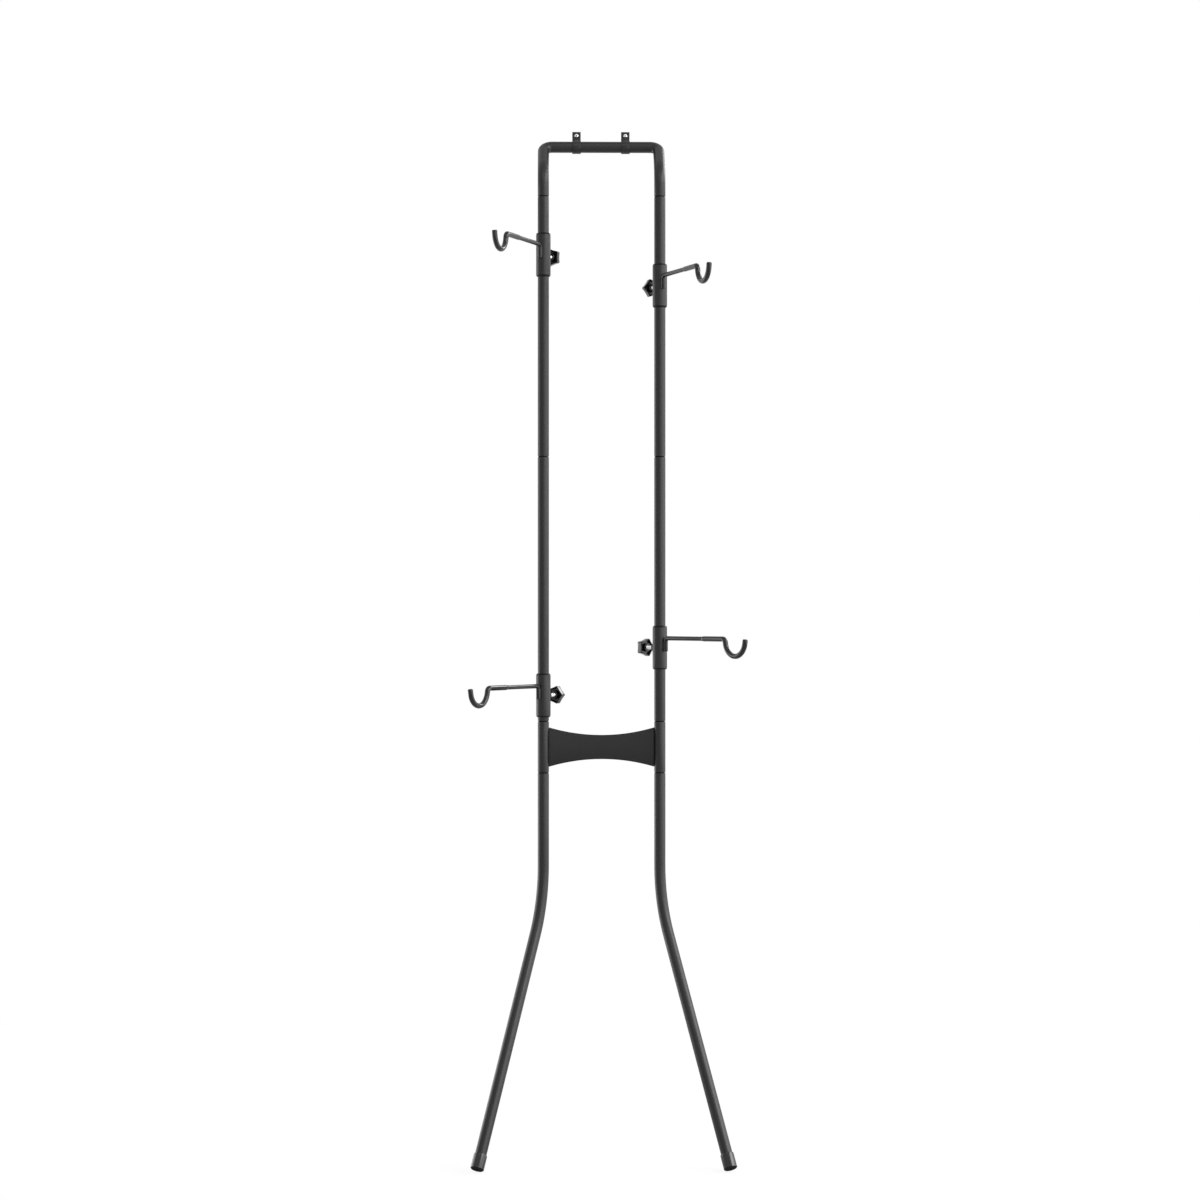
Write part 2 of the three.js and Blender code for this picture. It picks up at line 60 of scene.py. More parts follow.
RECORD = frame["record"]
JOINTS = {joint["name"]: joint for joint in RECORD["behaviour"]["joints"]}
BODY_OF = {node: body for body, nodes in RECORD["behaviour"]["bodies"].items() for node in nodes}
SIDES = {"left": -1, "right": 1}
ARMS = ("upper_left", "upper_right", "lower_left", "lower_right")
POLE_Y = JOINTS["upper_left_swing"]["pos_m"][1]
UP = Vector((0, 0, 1))
WHITE = (1, 1, 1, 1)

# The slope of the bow, the tilt and turn of a leg, the lean of a hook's arms and half a knob's tip
BOW_LEAN = math.radians(50)
LEG_TILT = math.radians(30.9)
LEG_TURN = math.radians(25.7)
HOOK_LEAN = math.radians(10)
KNOB_TIP = math.radians(4)
KNOB_LOBES = 5

# Roundings, from a cut edge to a moulded one, and the share of an edge that one may take
FINE_EDGE = 0.0002
EDGE = 0.0003
SOFT_EDGE = 0.0004
FULL_EDGE = 0.0006
EDGE_SHARE = 0.49

# A weld bead's radius, the length and swell of its ripples, and the run of its ends in radii
WELD_RADIUS = 0.0011
WELD_RIPPLE = 0.0011
WELD_SWELL = 0.12
WELD_END = 1.2

# Lengths that count as none
SAME_PLACE = 1e-9
CLEAR_OF_END = 1e-6
SKIN = 0.0001

# The range that noise mostly keeps to, and the least share of a normal that faces a way
NOISE_RANGE = (0.3, 0.7)
FACING = 0.3

# The camera: its lens is 3000 pixels of a 1200 pixel frame, and it turns by 50 and shifts by 5
CAMERA_TURN = math.atan(50 / 3000)
CAMERA_SHIFT = 5 / 1200
CAMERA_LENS = 90
CAMERA_SENSOR = 36

# The floor's half side, how much of its white shows near the rack, and where the rest fades in
FLOOR_REACH = 20
FLOOR_SHOW = 0.9
FLOOR_FADE = (0.8, 2.5)

# The world's strength for all rays but camera, glossy and transmission ones
SOFT_WORLD = 0.35

# Each lamp's name, place, target, width, height and power
LAMPS = (
    ("right window", (3.4, -0.5, 1.4), (0, 0, 1.3), 4.6, 2.8, 105),
    ("high right window", (6.7, -2.8, 6.2), (0, -0.1, 0.4), 7.5, 3.0, 500),
    ("back right window", (4.3, 3.4, 4.3), (0, 0, 1.0), 3.2, 1.6, 135),
    ("low left window", (-2.8, 2.2, 0.45), (0, 0, 0.9), 1.8, 0.8, 10),
    ("front right window", (2.7, -3.6, 2.0), (0, 0, 1.2), 1.9, 3.4, 44),
    ("left window", (-3.0, 1.0, 1.1), (0, 0, 1.1), 2.4, 2.6, 46),
    ("overhead", (0, -2.6, 4.4), (0, 0, 1.3), 3.0, 1.6, 22),
    ("strip", (1.2, -4.6, 1.7), (0, 0, 1.1), 0.2, 2.8, 17),
)


def size(name, description, default):
    """A length that a user may change, in metres."""
    return FloatProperty(
        name=name,
        description=description,
        default=default,
        min=0,
        precision=5,
        subtype="DISTANCE",
        unit="LENGTH",
    )


def tint(name, description, default):
    """A colour that a user may change."""
    return FloatVectorProperty(
        name=name, description=description, default=default, min=0, max=1, size=3, subtype="COLOR"
    )


class BikeRackTubeSizes(bpy.types.PropertyGroup):
    """Sizes of the tube frame."""

    tube_radius: size("Tube radius", "Outer radius of the frame's steel tube", 0.0116)
    tube_wall: size("Tube wall", "Wall of the frame's steel tube", 0.0012)
    fit_gap: size("Fit gap", "Gap between pieces that fit together", 0.0003)
    spigot_length: size("Spigot length", "Length of a tube's swaged end", 0.050)
    swage_length: size("Swage length", "Length of the cone from bore to spigot", 0.006)
    seam_round: size("Seam rounding", "Rounding of a tube's upper end", 0.0009)
    seam_groove: size("Seam groove", "Cut back of both tubes at a seam", 0.0007)
    bow_bend_radius: size("Bow bend radius", "Bend of the bow's uprights toward the wall", 0.064)
    bow_straight: size("Bow straight", "Straight run above the bow's seam", 0.020)
    bow_slope: size("Bow slope", "Run from that bend to the crossbar's axis", 0.0684)
    bow_corner_radius: size("Bow corner radius", "Bend at each end of the crossbar", 0.018)
    plate_thickness: size("Plate thickness", "Thickness of the brace plate", 0.003)
    plate_middle: size("Plate middle height", "Height of the brace plate halfway along", 0.0496)
    leg_corner_height: size("Leg corner height", "Height where a leg's two straight runs would meet", 0.5075)
    leg_bend_radius: size("Leg bend radius", "Bend of the legs", 0.273)
    cap_wall: size("Cap wall", "Wall of the foot caps", 0.0017)
    cap_end: size("Cap end", "Thickness of the foot caps' ends", 0.004)
    cap_grip: size("Cap grip", "How far a foot cap covers its leg", 0.027)
    cap_chamfer: size("Cap chamfer", "Chamfer of the foot caps' ends", 0.0015)
    tread_depth: size("Tread depth", "Depth of the rings in the foot caps' ends", 0.0018)
    clip_width: size("Clip width", "Width of the wall clips' strap", 0.0175)
    clip_thickness: size("Clip thickness", "Thickness of the wall clips' strap", 0.002)
    clip_hole_height: size("Clip hole height", "Height of the wall screws above the crossbar's axis", 0.0252)
    clip_hole_radius: size("Clip hole radius", "Radius of the hole in a clip's tab", 0.0027)


class BikeRackArmSizes(bpy.types.PropertyGroup):
    """Sizes of the arms."""

    sleeve_length: size("Sleeve length", "Length of the sleeve without its bushes", 0.084)
    sleeve_wall: size("Sleeve wall", "Wall of the sleeve", 0.0018)
    bush_wall: size("Bush wall", "Wall of the bushes inside the sleeve", 0.001)
    bush_insert: size("Bush insert", "How far a bush reaches into the sleeve", 0.014)
    collar_height: size("Collar height", "Height of a bush's collar", 0.0027)
    collar_inset: size("Collar inset", "How much smaller the collar is than the sleeve", 0.00035)
    rod_radius: size("Rod radius", "Radius of the arm's rod", 0.0045)
    rod_height: size("Rod height", "Height of the rod above the sleeve's middle", 0.0194)
    rod_leg: size("Rod leg", "Length of the rod's upright leg on the sleeve", 0.0271)
    rod_bend_radius: size("Rod bend radius", "Bend from that leg to the arm", 0.007)
    arm_reach: size("Arm reach", "Reach from the pole's axis to the hook's neck", 0.212)
    hook_mouth: size("Hook mouth", "Width of the hook at its top", 0.064)
    hook_depth: size("Hook depth", "Depth of the hook", 0.0342)
    hook_neck_radius: size("Hook neck radius", "Bend from the arm into the hook", 0.0085)
    cover_start: size("Cover start", "Reach from the pole's axis to the hook cover's start", 0.142)
    cover_wall: size("Cover wall", "Wall of the hook cover", 0.0006)
    cover_tip: size("Cover tip", "Thickness of the cover's closed tip", 0.002)
    cover_taper: size("Cover taper", "Length of the taper at the cover's start", 0.004)


class BikeRackClampSizes(bpy.types.PropertyGroup):
    """Sizes of the clamps."""

    nut_flats: size("Nut flats", "Width of the clamp nut across its flats", 0.013)
    nut_length: size("Nut length", "Length of the clamp nut", 0.0065)
    screw_radius: size("Screw radius", "Radius of the clamp screw", 0.004)
    screw_pitch: size("Screw pitch", "Pitch of the clamp screw's thread", 0.00125)
    screw_showing: size("Screw showing", "Length of screw between the nut and the knob", 0.01845)
    hub_radius: size("Hub radius", "Radius of the knob's hub", 0.008)
    hub_length: size("Hub length", "How far the knob's hub stands out", 0.002)
    knob_thickness: size("Knob thickness", "Thickness of the star knob", 0.013)
    knob_radius: size("Knob radius", "Radius at the knob's tips", 0.0188)
    knob_valley: size("Knob valley", "Radius halfway between the knob's tips", 0.0152)
    knob_round: size("Knob rounding", "Rounding of the knob's edges", 0.0011)
    knob_hollow: size("Knob hollow", "Depth of the hollow in the knob's inner side", 0.0062)
    knob_rib: size("Knob rib", "Thickness of the knob's wall round that hollow", 0.0024)
    knob_floor: size("Knob floor", "Thickness of the knob beyond its hole", 0.0025)
    wall_head_radius: size("Wall screw head", "Radius of the wall screws' heads", 0.0039)
    wall_head_height: size("Wall screw head height", "Height of the wall screws' heads", 0.0026)
    recess_reach: size("Recess reach", "Half the length of the recess in a wall screw's head", 0.0022)
    recess_width: size("Recess width", "Width of that recess", 0.0013)
    recess_depth: size("Recess depth", "Depth of that recess", 0.0016)


class BikeRackColours(bpy.types.PropertyGroup):
    """Colours of the finishes."""

    powder_coat: tint("Powder coat", "Satin black of the tubes and arms", (0.006, 0.006, 0.0065))
    plate_coat: tint("Plate coat", "Satin black of the brace plate", (0.008, 0.008, 0.0084))
    rod_coat: tint("Rod coat", "Gloss black of the arms' rods", (0.004, 0.004, 0.0043))
    # The matt black of painted shade in the seams' gaps, along the plate's and clips' edges and in the wall
    # screws' recesses
    primer: tint("Primer", "Matt black of the tubes' swaged ends", (0.002, 0.002, 0.002))
    vinyl: tint("Vinyl", "Glossy black of the hook covers", (0.003, 0.003, 0.0034))
    knob: tint("Knob", "Glossy black of the star knobs", (0.003, 0.003, 0.0034))
    nylon: tint("Nylon", "Black of the bushes", (0.0025, 0.0025, 0.0028))
    rubber: tint("Rubber", "Black of the foot caps", (0.004, 0.004, 0.0045))
    zinc: tint("Zinc", "Bright plate of the screws", (0.72, 0.73, 0.74))
    floor: tint("Floor", "Pale floor and backdrop", (0.86, 0.86, 0.86))


class BikeRackStage(bpy.types.PropertyGroup):
    """The camera's place."""

    eye_distance: size("Eye distance", "Distance of the camera in front of the poles", 6.18)
    eye_height: size("Eye height", "Height of the camera above the floor", 1.1181)
    eye_offset: FloatProperty(
        name="Eye offset",
        description="Sideways place of the camera, negative to the left",
        default=-0.1063,
        subtype="DISTANCE",
        unit="LENGTH",
    )


# Round bars and tubes


class BarPath:
    """The centreline of a bent bar: straight runs with round bends between them."""

    def __init__(self, corners, radii=(), across=Vector((0, 1, 0)), turn_step=math.radians(4)):
        headings = [(b - a).normalized() for a, b in zip(corners, corners[1:])]
        normal = (across - headings[0] * across.dot(headings[0])).normalized()
        here = corners[0]
        travelled = 0.0
        self.runs = []
        self.stops = []
        for index, radius in enumerate(radii):
            arriving, leaving = headings[index], headings[index + 1]
            turn = arriving.angle(leaving)
            start = corners[index + 1] - arriving * radius * math.tan(turn / 2)
            self.runs.append((travelled, here, arriving, normal, None))
            travelled += (start - here).length
            axis = arriving.cross(leaving).normalized()
            centre = start + axis.cross(arriving) * radius
            self.runs.append((travelled, start, arriving, normal, (centre, axis, radius)))
            steps = max(2, math.ceil(turn / turn_step))
            self.stops += [travelled + radius * turn * step / steps for step in range(steps + 1)]
            travelled += radius * turn
            spin = Matrix.Rotation(turn, 3, axis)
            here = centre + spin @ (start - centre)
            normal = spin @ normal
        self.runs.append((travelled, here, headings[-1], normal, None))
        self.length = travelled + (corners[-1] - here).length

    def place(self, distance):
        """The point, heading and across direction at a distance along the bar."""
        start, point, heading, normal, bend = self.runs[0]
        for run in self.runs:
            if distance >= run[0] - SAME_PLACE:
                start, point, heading, normal, bend = run
        if bend is None:
            return point + heading * (distance - start), heading, normal
        centre, axis, radius = bend
        spin = Matrix.Rotation((distance - start) / radius, 3, axis)
        return centre + spin @ (point - centre), spin @ heading, spin @ normal


def straight_path(start, heading, across=Vector((0, 1, 0))):
    """A straight centreline. Its outline may run past both of its ends."""
    return BarPath([start, start + heading.normalized()], across=across)


def eased(points, steps=4):
    """An outline of (distance, radius, rounding) points with its corners rounded.

    An outline that starts on the centreline also ends there, and any other closes on itself.
    """
    closed = points[0][1] > 0
    result = []
    for index, (distance, radius, rounding) in enumerate(points):
        here = Vector((distance, radius))
        if not rounding or (not closed and index in (0, len(points) - 1)):
            result.append((distance, radius))
            continue
        before = Vector(points[index - 1][:2]) - here
        after = Vector(points[(index + 1) % len(points)][:2]) - here
        half = before.angle(after) / 2
        shorter = min(before.length, after.length)
        cut = min(rounding / math.tan(half), shorter * EDGE_SHARE)
        real = cut * math.tan(half)
        centre = here + (before.normalized() + after.normalized()).normalized() * (real / math.sin(half))
        first = here + before.normalized() * cut - centre
        last = here + after.normalized() * cut - centre
        sweep = first.angle_signed(last)
        for step in range(steps + 1):
            result.append(tuple(centre + Matrix.Rotation(-sweep * step / steps, 2) @ first))
    return result


def round_mesh(path, outline, sides=48, thread=None):
    """Turns an outline of (distance, radius) points round a bar's centreline.

    thread, if given, is a function of distance, angle and radius that returns the radius there.
    """
    closed = outline[0][1] > 0
    points = list(outline) + ([outline[0]] if closed else [])
    stations = []
    for (near, low), (far, high) in zip(points, points[1:]):
        stations.append((near, low))
        least, most = min(near, far) + CLEAR_OF_END, max(near, far) - CLEAR_OF_END
        between = [stop for stop in path.stops if least < stop < most]
        for stop in sorted(between, reverse=far < near):
            stations.append((stop, low + (high - low) * (stop - near) / (far - near)))
    if not closed:
        stations.append(points[-1])
    vertices, rings = [], []
    for distance, radius in stations:
        point, heading, across = path.place(distance)
        if radius <= 0:
            rings.append([len(vertices)] * sides)
            vertices.append(point)
            continue
        rings.append(range(len(vertices), len(vertices) + sides))
        other = heading.cross(across)
        for side in range(sides):
            angle = 2 * math.pi * side / sides
            reach = thread(distance, angle, radius) if thread else radius
            vertices.append(point + (across * math.cos(angle) + other * math.sin(angle)) * reach)
    return vertices, ring_faces(rings, closed)


def ring_faces(rings, closed):
    """Faces between neighbouring rings of vertices. A ring of one repeated vertex is a pole."""
    faces = []
    pairs = list(zip(rings, rings[1:])) + ([(rings[-1], rings[0])] if closed else [])
    for low, high in pairs:
        sides = len(low)
        for side in range(sides):
            after = (side + 1) % sides
            corners = [low[side], low[after], high[after], high[side]]
            face = [corner for index, corner in enumerate(corners) if corner != corners[index - 1]]
            if len(face) > 2:
                faces.append(face)
    return faces


def joined(*meshes):
    """Several (vertices, faces) meshes as one."""
    vertices, faces = [], []
    for more_vertices, more_faces in meshes:
        first = len(vertices)
        vertices += list(more_vertices)
        faces += [[corner + first for corner in face] for face in more_faces]
    return vertices, faces


def weld_bead(start, end):
    """A bead of weld laid between two points, with the ripples that a weld has."""
    length = (end - start).length
    steps = max(6, round(length / WELD_RIPPLE) * 3)
    outline = [(0, 0)]
    for step in range(1, steps):
        share = step / steps
        full = min(1, min(share, 1 - share) * length / (WELD_RADIUS * WELD_END))
        swell = 1 + WELD_SWELL * math.sin(2 * math.pi * share * length / WELD_RIPPLE)
        outline.append((share * length, WELD_RADIUS * math.sqrt(1 - (1 - full) ** 2) * swell))
    outline.append((length, 0))
    return round_mesh(BarPath([start, end]), outline, sides=12)


def signed_volume(vertices, faces):
    """Six times the volume inside a closed mesh, negative if its faces point inward."""
    total = 0.0
    for face in faces:
        for index in range(1, len(face) - 1):
            a, b, c = vertices[face[0]], vertices[face[index]], vertices[face[index + 1]]
            total += a.dot(b.cross(c))
    return total


def smooth_mesh(name, mesh_data):
    """A smoothly shaded mesh whose faces point outward."""
    vertices, faces = mesh_data
    if signed_volume(vertices, faces) < 0:
        faces = [list(reversed(face)) for face in faces]
    mesh = bpy.data.meshes.new(name)
    mesh.from_pydata([tuple(vertex) for vertex in vertices], [], faces)
    if mesh.validate():
        raise RuntimeError(f"the mesh {name} had faults")
    for polygon in mesh.polygons:
        polygon.use_smooth = True
    return mesh


def add_piece(node, mesh_data, finish, crease=35):
    """Adds the finished piece that stands for a node, riding on the node's body."""
    mesh = smooth_mesh(node + "_finished", mesh_data)
    mesh.materials.append(finish_named(finish))
    mesh.set_sharp_from_angle(angle=math.radians(crease))
    piece = bpy.data.objects.new(node + "_finished", mesh)
    bpy.context.scene.collection.objects.link(piece)
    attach(piece, BODY_OF[node])
    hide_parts(node)
    return piece


def paint(piece, finish, chosen):
    """Gives a second finish to the faces that a test picks."""
    piece.data.materials.append(finish_named(finish))
    for polygon in piece.data.polygons:
        if chosen(polygon):
            polygon.material_index = 1


def apply_modifiers(piece, crease):
    """Turns a piece's modifiers into its own mesh, with the edges sharper than an angle kept sharp."""
    bpy.context.view_layer.update()
    evaluated = piece.evaluated_get(bpy.context.evaluated_depsgraph_get())
    mesh = bpy.data.meshes.new_from_object(evaluated)
    piece.modifiers.clear()
    piece.data = mesh
    mesh.set_sharp_from_angle(angle=math.radians(crease))


def plug_outline(radius, length):
    """The outline of a round plug that starts on its path's first point."""
    return [(0, 0), (0, radius), (length, radius), (length, 0)]


def drill(piece, cutter_data):
    """Cuts a closed mesh out of a piece."""
    cutter = bpy.data.objects.new("cutter", smooth_mesh("cutter", cutter_data))
    bpy.context.scene.collection.objects.link(cutter)
    cut = piece.modifiers.new("cut", "BOOLEAN")
    cut.operation = "DIFFERENCE"
    cut.solver = "EXACT"
    cut.object = cutter
    apply_modifiers(piece, crease=35)
    bpy.data.objects.remove(cutter)


# Places shared by several pieces


def settings():
    """The tube, arm and clamp sizes of the scene."""
    scene = bpy.context.scene
    return scene.rack_tubes, scene.rack_arms, scene.rack_clamps


def pole_foot(side_name, height):
    """A point on a pole's axis."""
    return Vector((SIDES[side_name] * abs(JOINTS["upper_left_swing"]["pos_m"][0]), POLE_Y, height))


def seam_height(node):
    """The height of the seam below a pole."""
    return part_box(node)[0].z + bpy.context.scene.rack_tubes.spigot_length


def crossbar():
    """The y and z of the crossbar's axis."""
    tubes = bpy.context.scene.rack_tubes
    seam = seam_height("top_bow")
    cut = tubes.bow_bend_radius * math.tan(BOW_LEAN / 2)
    slope = tubes.bow_slope + cut
    corner = seam + tubes.bow_straight + cut
    return POLE_Y + slope * math.sin(BOW_LEAN), corner + slope * math.cos(BOW_LEAN), corner


def placed_arms():
    """Each arm's name, its middle on the pole's axis, and the way its clamp points."""
    for arm in ARMS:
        yield arm, Vector(JOINTS[arm + "_swing"]["pos_m"]), Vector(JOINTS[arm + "_knob_turn"]["axis"])


def leg_line(side_name):
    """A leg's lower run: its heading, and the middle of its foot cap's end."""
    tubes = bpy.context.scene.rack_tubes
    flat = math.sin(LEG_TILT)
    sideways = SIDES[side_name] * flat * math.sin(LEG_TURN)
    heading = Vector((sideways, -flat * math.cos(LEG_TURN), -math.cos(LEG_TILT)))
    rim = tubes.tube_radius + tubes.fit_gap + tubes.cap_wall - tubes.cap_chamfer
    drop = tubes.leg_corner_height - rim * flat
    corner = pole_foot(side_name, tubes.leg_corner_height)
    return heading, corner + heading * (drop / math.cos(LEG_TILT))


def tube_radii(tubes):
    """The outer radius and bore of a tube, then those of its spigot."""
    radius = tubes.tube_radius
    bore = radius - tubes.tube_wall
    spigot = bore - tubes.fit_gap
    return radius, bore, spigot, spigot - tubes.tube_wall


def sleeve_radii(tubes, arms):
    """A sleeve's bore and outer radius."""
    bore = tubes.tube_radius + 2 * tubes.fit_gap + arms.bush_wall
    return bore, bore + arms.sleeve_wall


# Finishes


def add_node(tree, kind, inputs, **properties):
    """Adds a shader node. Each input is a number or colour, or another node's output to link."""
    node = tree.nodes.new(kind)
    for name, value in properties.items():
        setattr(node, name, value)
    for socket, value in inputs.items():
        if isinstance(value, bpy.types.NodeSocket):
            tree.links.new(value, node.inputs[socket])
        else:
            node.inputs[socket].default_value = value
    return node


def new_finish(name, colour, roughness, metallic, specular):
    """A finish with one shader, and the object's own coordinates for its texture."""
    finish = bpy.data.materials.new(name)
    finish.use_nodes = True
    tree = finish.node_tree
    shader = tree.nodes["Principled BSDF"]
    shader.inputs["Base Color"].default_value = (*colour, 1)
    shader.inputs["Roughness"].default_value = roughness
    shader.inputs["Metallic"].default_value = metallic
    shader.inputs["Specular IOR Level"].default_value = specular
    place = add_node(tree, "ShaderNodeTexCoord", {})
    return finish, tree, shader, place.outputs["Object"]


def grain(tree, place, scale, detail, stretch=None):
    """Noise over the surface, its scale in cells a metre."""
    if stretch:
        place = add_node(tree, "ShaderNodeMapping", {"Vector": place, "Scale": stretch}).outputs["Vector"]
    inputs = {"Vector": place, "Scale": scale, "Detail": detail}
    return add_node(tree, "ShaderNodeTexNoise", inputs).outputs["Fac"]


def spread(tree, value, low, high, start=NOISE_RANGE[0], stop=NOISE_RANGE[1]):
    """A value spread between a low and a high one as it goes from start to stop."""
    inputs = {"Value": value, "From Min": start, "From Max": stop, "To Min": low, "To Max": high}
    return add_node(tree, "ShaderNodeMapRange", inputs).outputs["Result"]


def shaded(tree, value, colour, dark, light):
    """Noise as a colour, between a darker and a lighter shade of it."""
    ramp = add_node(tree, "ShaderNodeValToRGB", {"Fac": value})
    for element, position, shade in zip(ramp.color_ramp.elements, NOISE_RANGE, (dark, light)):
        element.position = position
        element.color = (*[min(1, part * shade) for part in colour], 1)
    return ramp.outputs["Color"]


def relief(tree, value, strength, height):
    """A bump from noise, its height in metres."""
    inputs = {"Height": value, "Strength": strength, "Distance": height}
    return add_node(tree, "ShaderNodeBump", inputs).outputs["Normal"]


def textured(name, colour, roughness, specular, cloud, shades, gloss, bump, depth, metallic=0.0):
    """A finish with clouds of shade and gloss and a fine relief.

    cloud and bump are the scale, detail and stretch of their noise, shades the darkest and lightest
    share of the colour, gloss the least and greatest roughness, and depth the relief's share and height.
    """
    finish, tree, shader, place = new_finish(name, colour, roughness, metallic, specular)
    clouds = grain(tree, place, *cloud)
    fine = grain(tree, place, *bump)
    glossy = fine if metallic else clouds
    tree.links.new(shaded(tree, clouds, colour, *shades), shader.inputs["Base Color"])
    tree.links.new(spread(tree, glossy, *gloss), shader.inputs["Roughness"])
    tree.links.new(relief(tree, fine, *depth), shader.inputs["Normal"])
    return finish


def powder_coat(name, colour, roughness, specular):
    """Powder coat: a fine orange peel with faint drifts of shade and gloss."""
    return textured(
        name,
        colour,
        roughness,
        specular,
        cloud=(14, 3),
        shades=(0.9, 1.1),
        gloss=(roughness - 0.02, roughness + 0.03),
        bump=(700, 2),
        depth=(0.12, 0.00008),
    )


def soft_vinyl(name, colour, roughness, specular):
    """Thick dipped vinyl: glossy, with slow waves in its shine."""
    return textured(
        name,
        colour,
        roughness,
        specular,
        cloud=(45, 3),
        shades=(0.85, 1.2),
        gloss=(0.11, 0.18),
        bump=(110, 1),
        depth=(0.15, 0.0002),
    )


def moulded(name, colour, roughness, specular, texture):
    """Moulded plastic or rubber: an even fine texture and faint flow marks."""
    return textured(
        name,
        colour,
        roughness,
        specular,
        cloud=(60, 3, (1, 1, 0.35)),
        shades=(0.85, 1.2),
        gloss=(roughness - 0.03, roughness + 0.04),
        bump=(texture, 2),
        depth=(0.15, 0.00005),
    )


def zinc_plate(name, colour, roughness, specular):
    """Bright zinc plate: fine scratches and cloudy patches on bare metal."""
    return textured(
        name,
        colour,
        roughness,
        specular,
        cloud=(220, 3),
        shades=(0.86, 1.08),
        gloss=(0.18, 0.34),
        bump=(1500, 2, (1, 1, 6)),
        depth=(0.15, 0.00003),
        metallic=1.0,
    )


# Each finish's maker, its colour's setting, its roughness and specular level, and a moulding's texture
FINISHES = {
    "Satin black powder coat": (powder_coat, "powder_coat", 0.36, 0.32),
    "Satin black plate coat": (powder_coat, "plate_coat", 0.4, 0.24),
    "Gloss black powder coat": (powder_coat, "rod_coat", 0.2, 0.26),
    "Glossy black vinyl": (soft_vinyl, "vinyl", 0.14, 0.32),
    "Glossy black knob plastic": (moulded, "knob", 0.17, 0.36, 900),
    "Black nylon": (moulded, "nylon", 0.34, 0.14, 1200),
    "Black rubber": (moulded, "rubber", 0.17, 0.42, 1500),
    # Painted shade: a rough, dull rubber that darkens the foot caps' ends
    "Worn rubber tread": (moulded, "rubber", 0.8, 0.12, 700),
    # Painted shade: matt black for the seams' gaps, the plate's and clips' edges and the screws' recesses
    "Matt black primer": (moulded, "primer", 0.85, 0.03, 1400),
    "Bright zinc plate": (zinc_plate, "zinc", 0.24, 0.5),
}


def finish_named(name):
    """One of the rack's finishes, made the first time it is asked for."""
    if name not in bpy.data.materials:
        make, colour, *numbers = FINISHES[name]
        make(name, tuple(getattr(bpy.context.scene.rack_colours, colour)), *numbers)
    return bpy.data.materials[name]


# Pieces of the frame


def swaged_end(tubes):
    """The outer and then the inner points of a tube's swaged end, measured from its seam."""
    radius, bore, spigot, spigot_bore = tube_radii(tubes)
    shoulder = tubes.fit_gap + tubes.seam_groove
    outer = [
        (-tubes.spigot_length, spigot_bore, 0),
        (-tubes.spigot_length, spigot, SOFT_EDGE),
        (shoulder, spigot, 0),
        (shoulder, radius, EDGE),
    ]
    return outer, [(shoulder + tubes.swage_length, bore, 0), (shoulder, spigot_bore, 0)]


def shade_spigot(piece, height):
    """Paints the swaged end of a tube, up to a height, matt black: painted shade in the seam's gap."""
    paint(piece, "Matt black primer", lambda polygon: polygon.center.z < height + SKIN)


class RACK_OT_poles(bpy.types.Operator):
    """Adds the straight tubes of the two poles, with their swaged joints"""

    bl_idname = "rack.poles"
    bl_label = "Poles"

    def execute(self, context):
        tubes = context.scene.rack_tubes
        radius, bore, _, _ = tube_radii(tubes)
        outer, inner = swaged_end(tubes)
        for side_name in SIDES:
            for kind in ("upper_pole_", "middle_pole_", "brace_tube_"):
                node = kind + side_name
                seam = seam_height(node)
                path = straight_path(pole_foot(side_name, seam), UP)
                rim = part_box(node)[1].z - seam - tubes.seam_groove
                top = [(rim, radius, tubes.seam_round), (rim, bore, FINE_EDGE)]
                outline = eased(outer + top + inner)
                tube = add_piece(node, round_mesh(path, outline), "Satin black powder coat")
                # The spigot and the step at the seam are painted matt black: painted shade in the seam's gap
                shade_spigot(tube, seam + tubes.fit_gap + tubes.seam_groove)
        return {"FINISHED"}


class RACK_OT_top_bow(bpy.types.Operator):
    """Adds the bow: one tube bent back to the wall and across"""

    bl_idname = "rack.top_bow"
    bl_label = "Top bow"

    def execute(self, context):
        tubes = context.scene.rack_tubes
        seam = seam_height("top_bow")
        bar_y, bar_z, corner = crossbar()
        left, right = pole_foot("left", seam), pole_foot("right", seam)
        corners = [
            left,
            Vector((left.x, POLE_Y, corner)),
            Vector((left.x, bar_y, bar_z)),
            Vector((right.x, bar_y, bar_z)),
            Vector((right.x, POLE_Y, corner)),
            right,
        ]
        bend, turn = tubes.bow_bend_radius, tubes.bow_corner_radius
        path = BarPath(corners, [bend, turn, turn, bend])
        outer, inner = swaged_end(tubes)
        mirrored = reversed(inner + outer)
        far_end = [(path.length - distance, radius, rounding) for distance, radius, rounding in mirrored]
        outline = eased(outer + far_end + inner)
        bow = add_piece("top_bow", round_mesh(path, outline), "Satin black powder coat")
        # The spigots and the steps at the seams are painted matt black: painted shade in the seams' gaps
        shade_spigot(bow, seam + tubes.fit_gap + tubes.seam_groove)
        return {"FINISHED"}


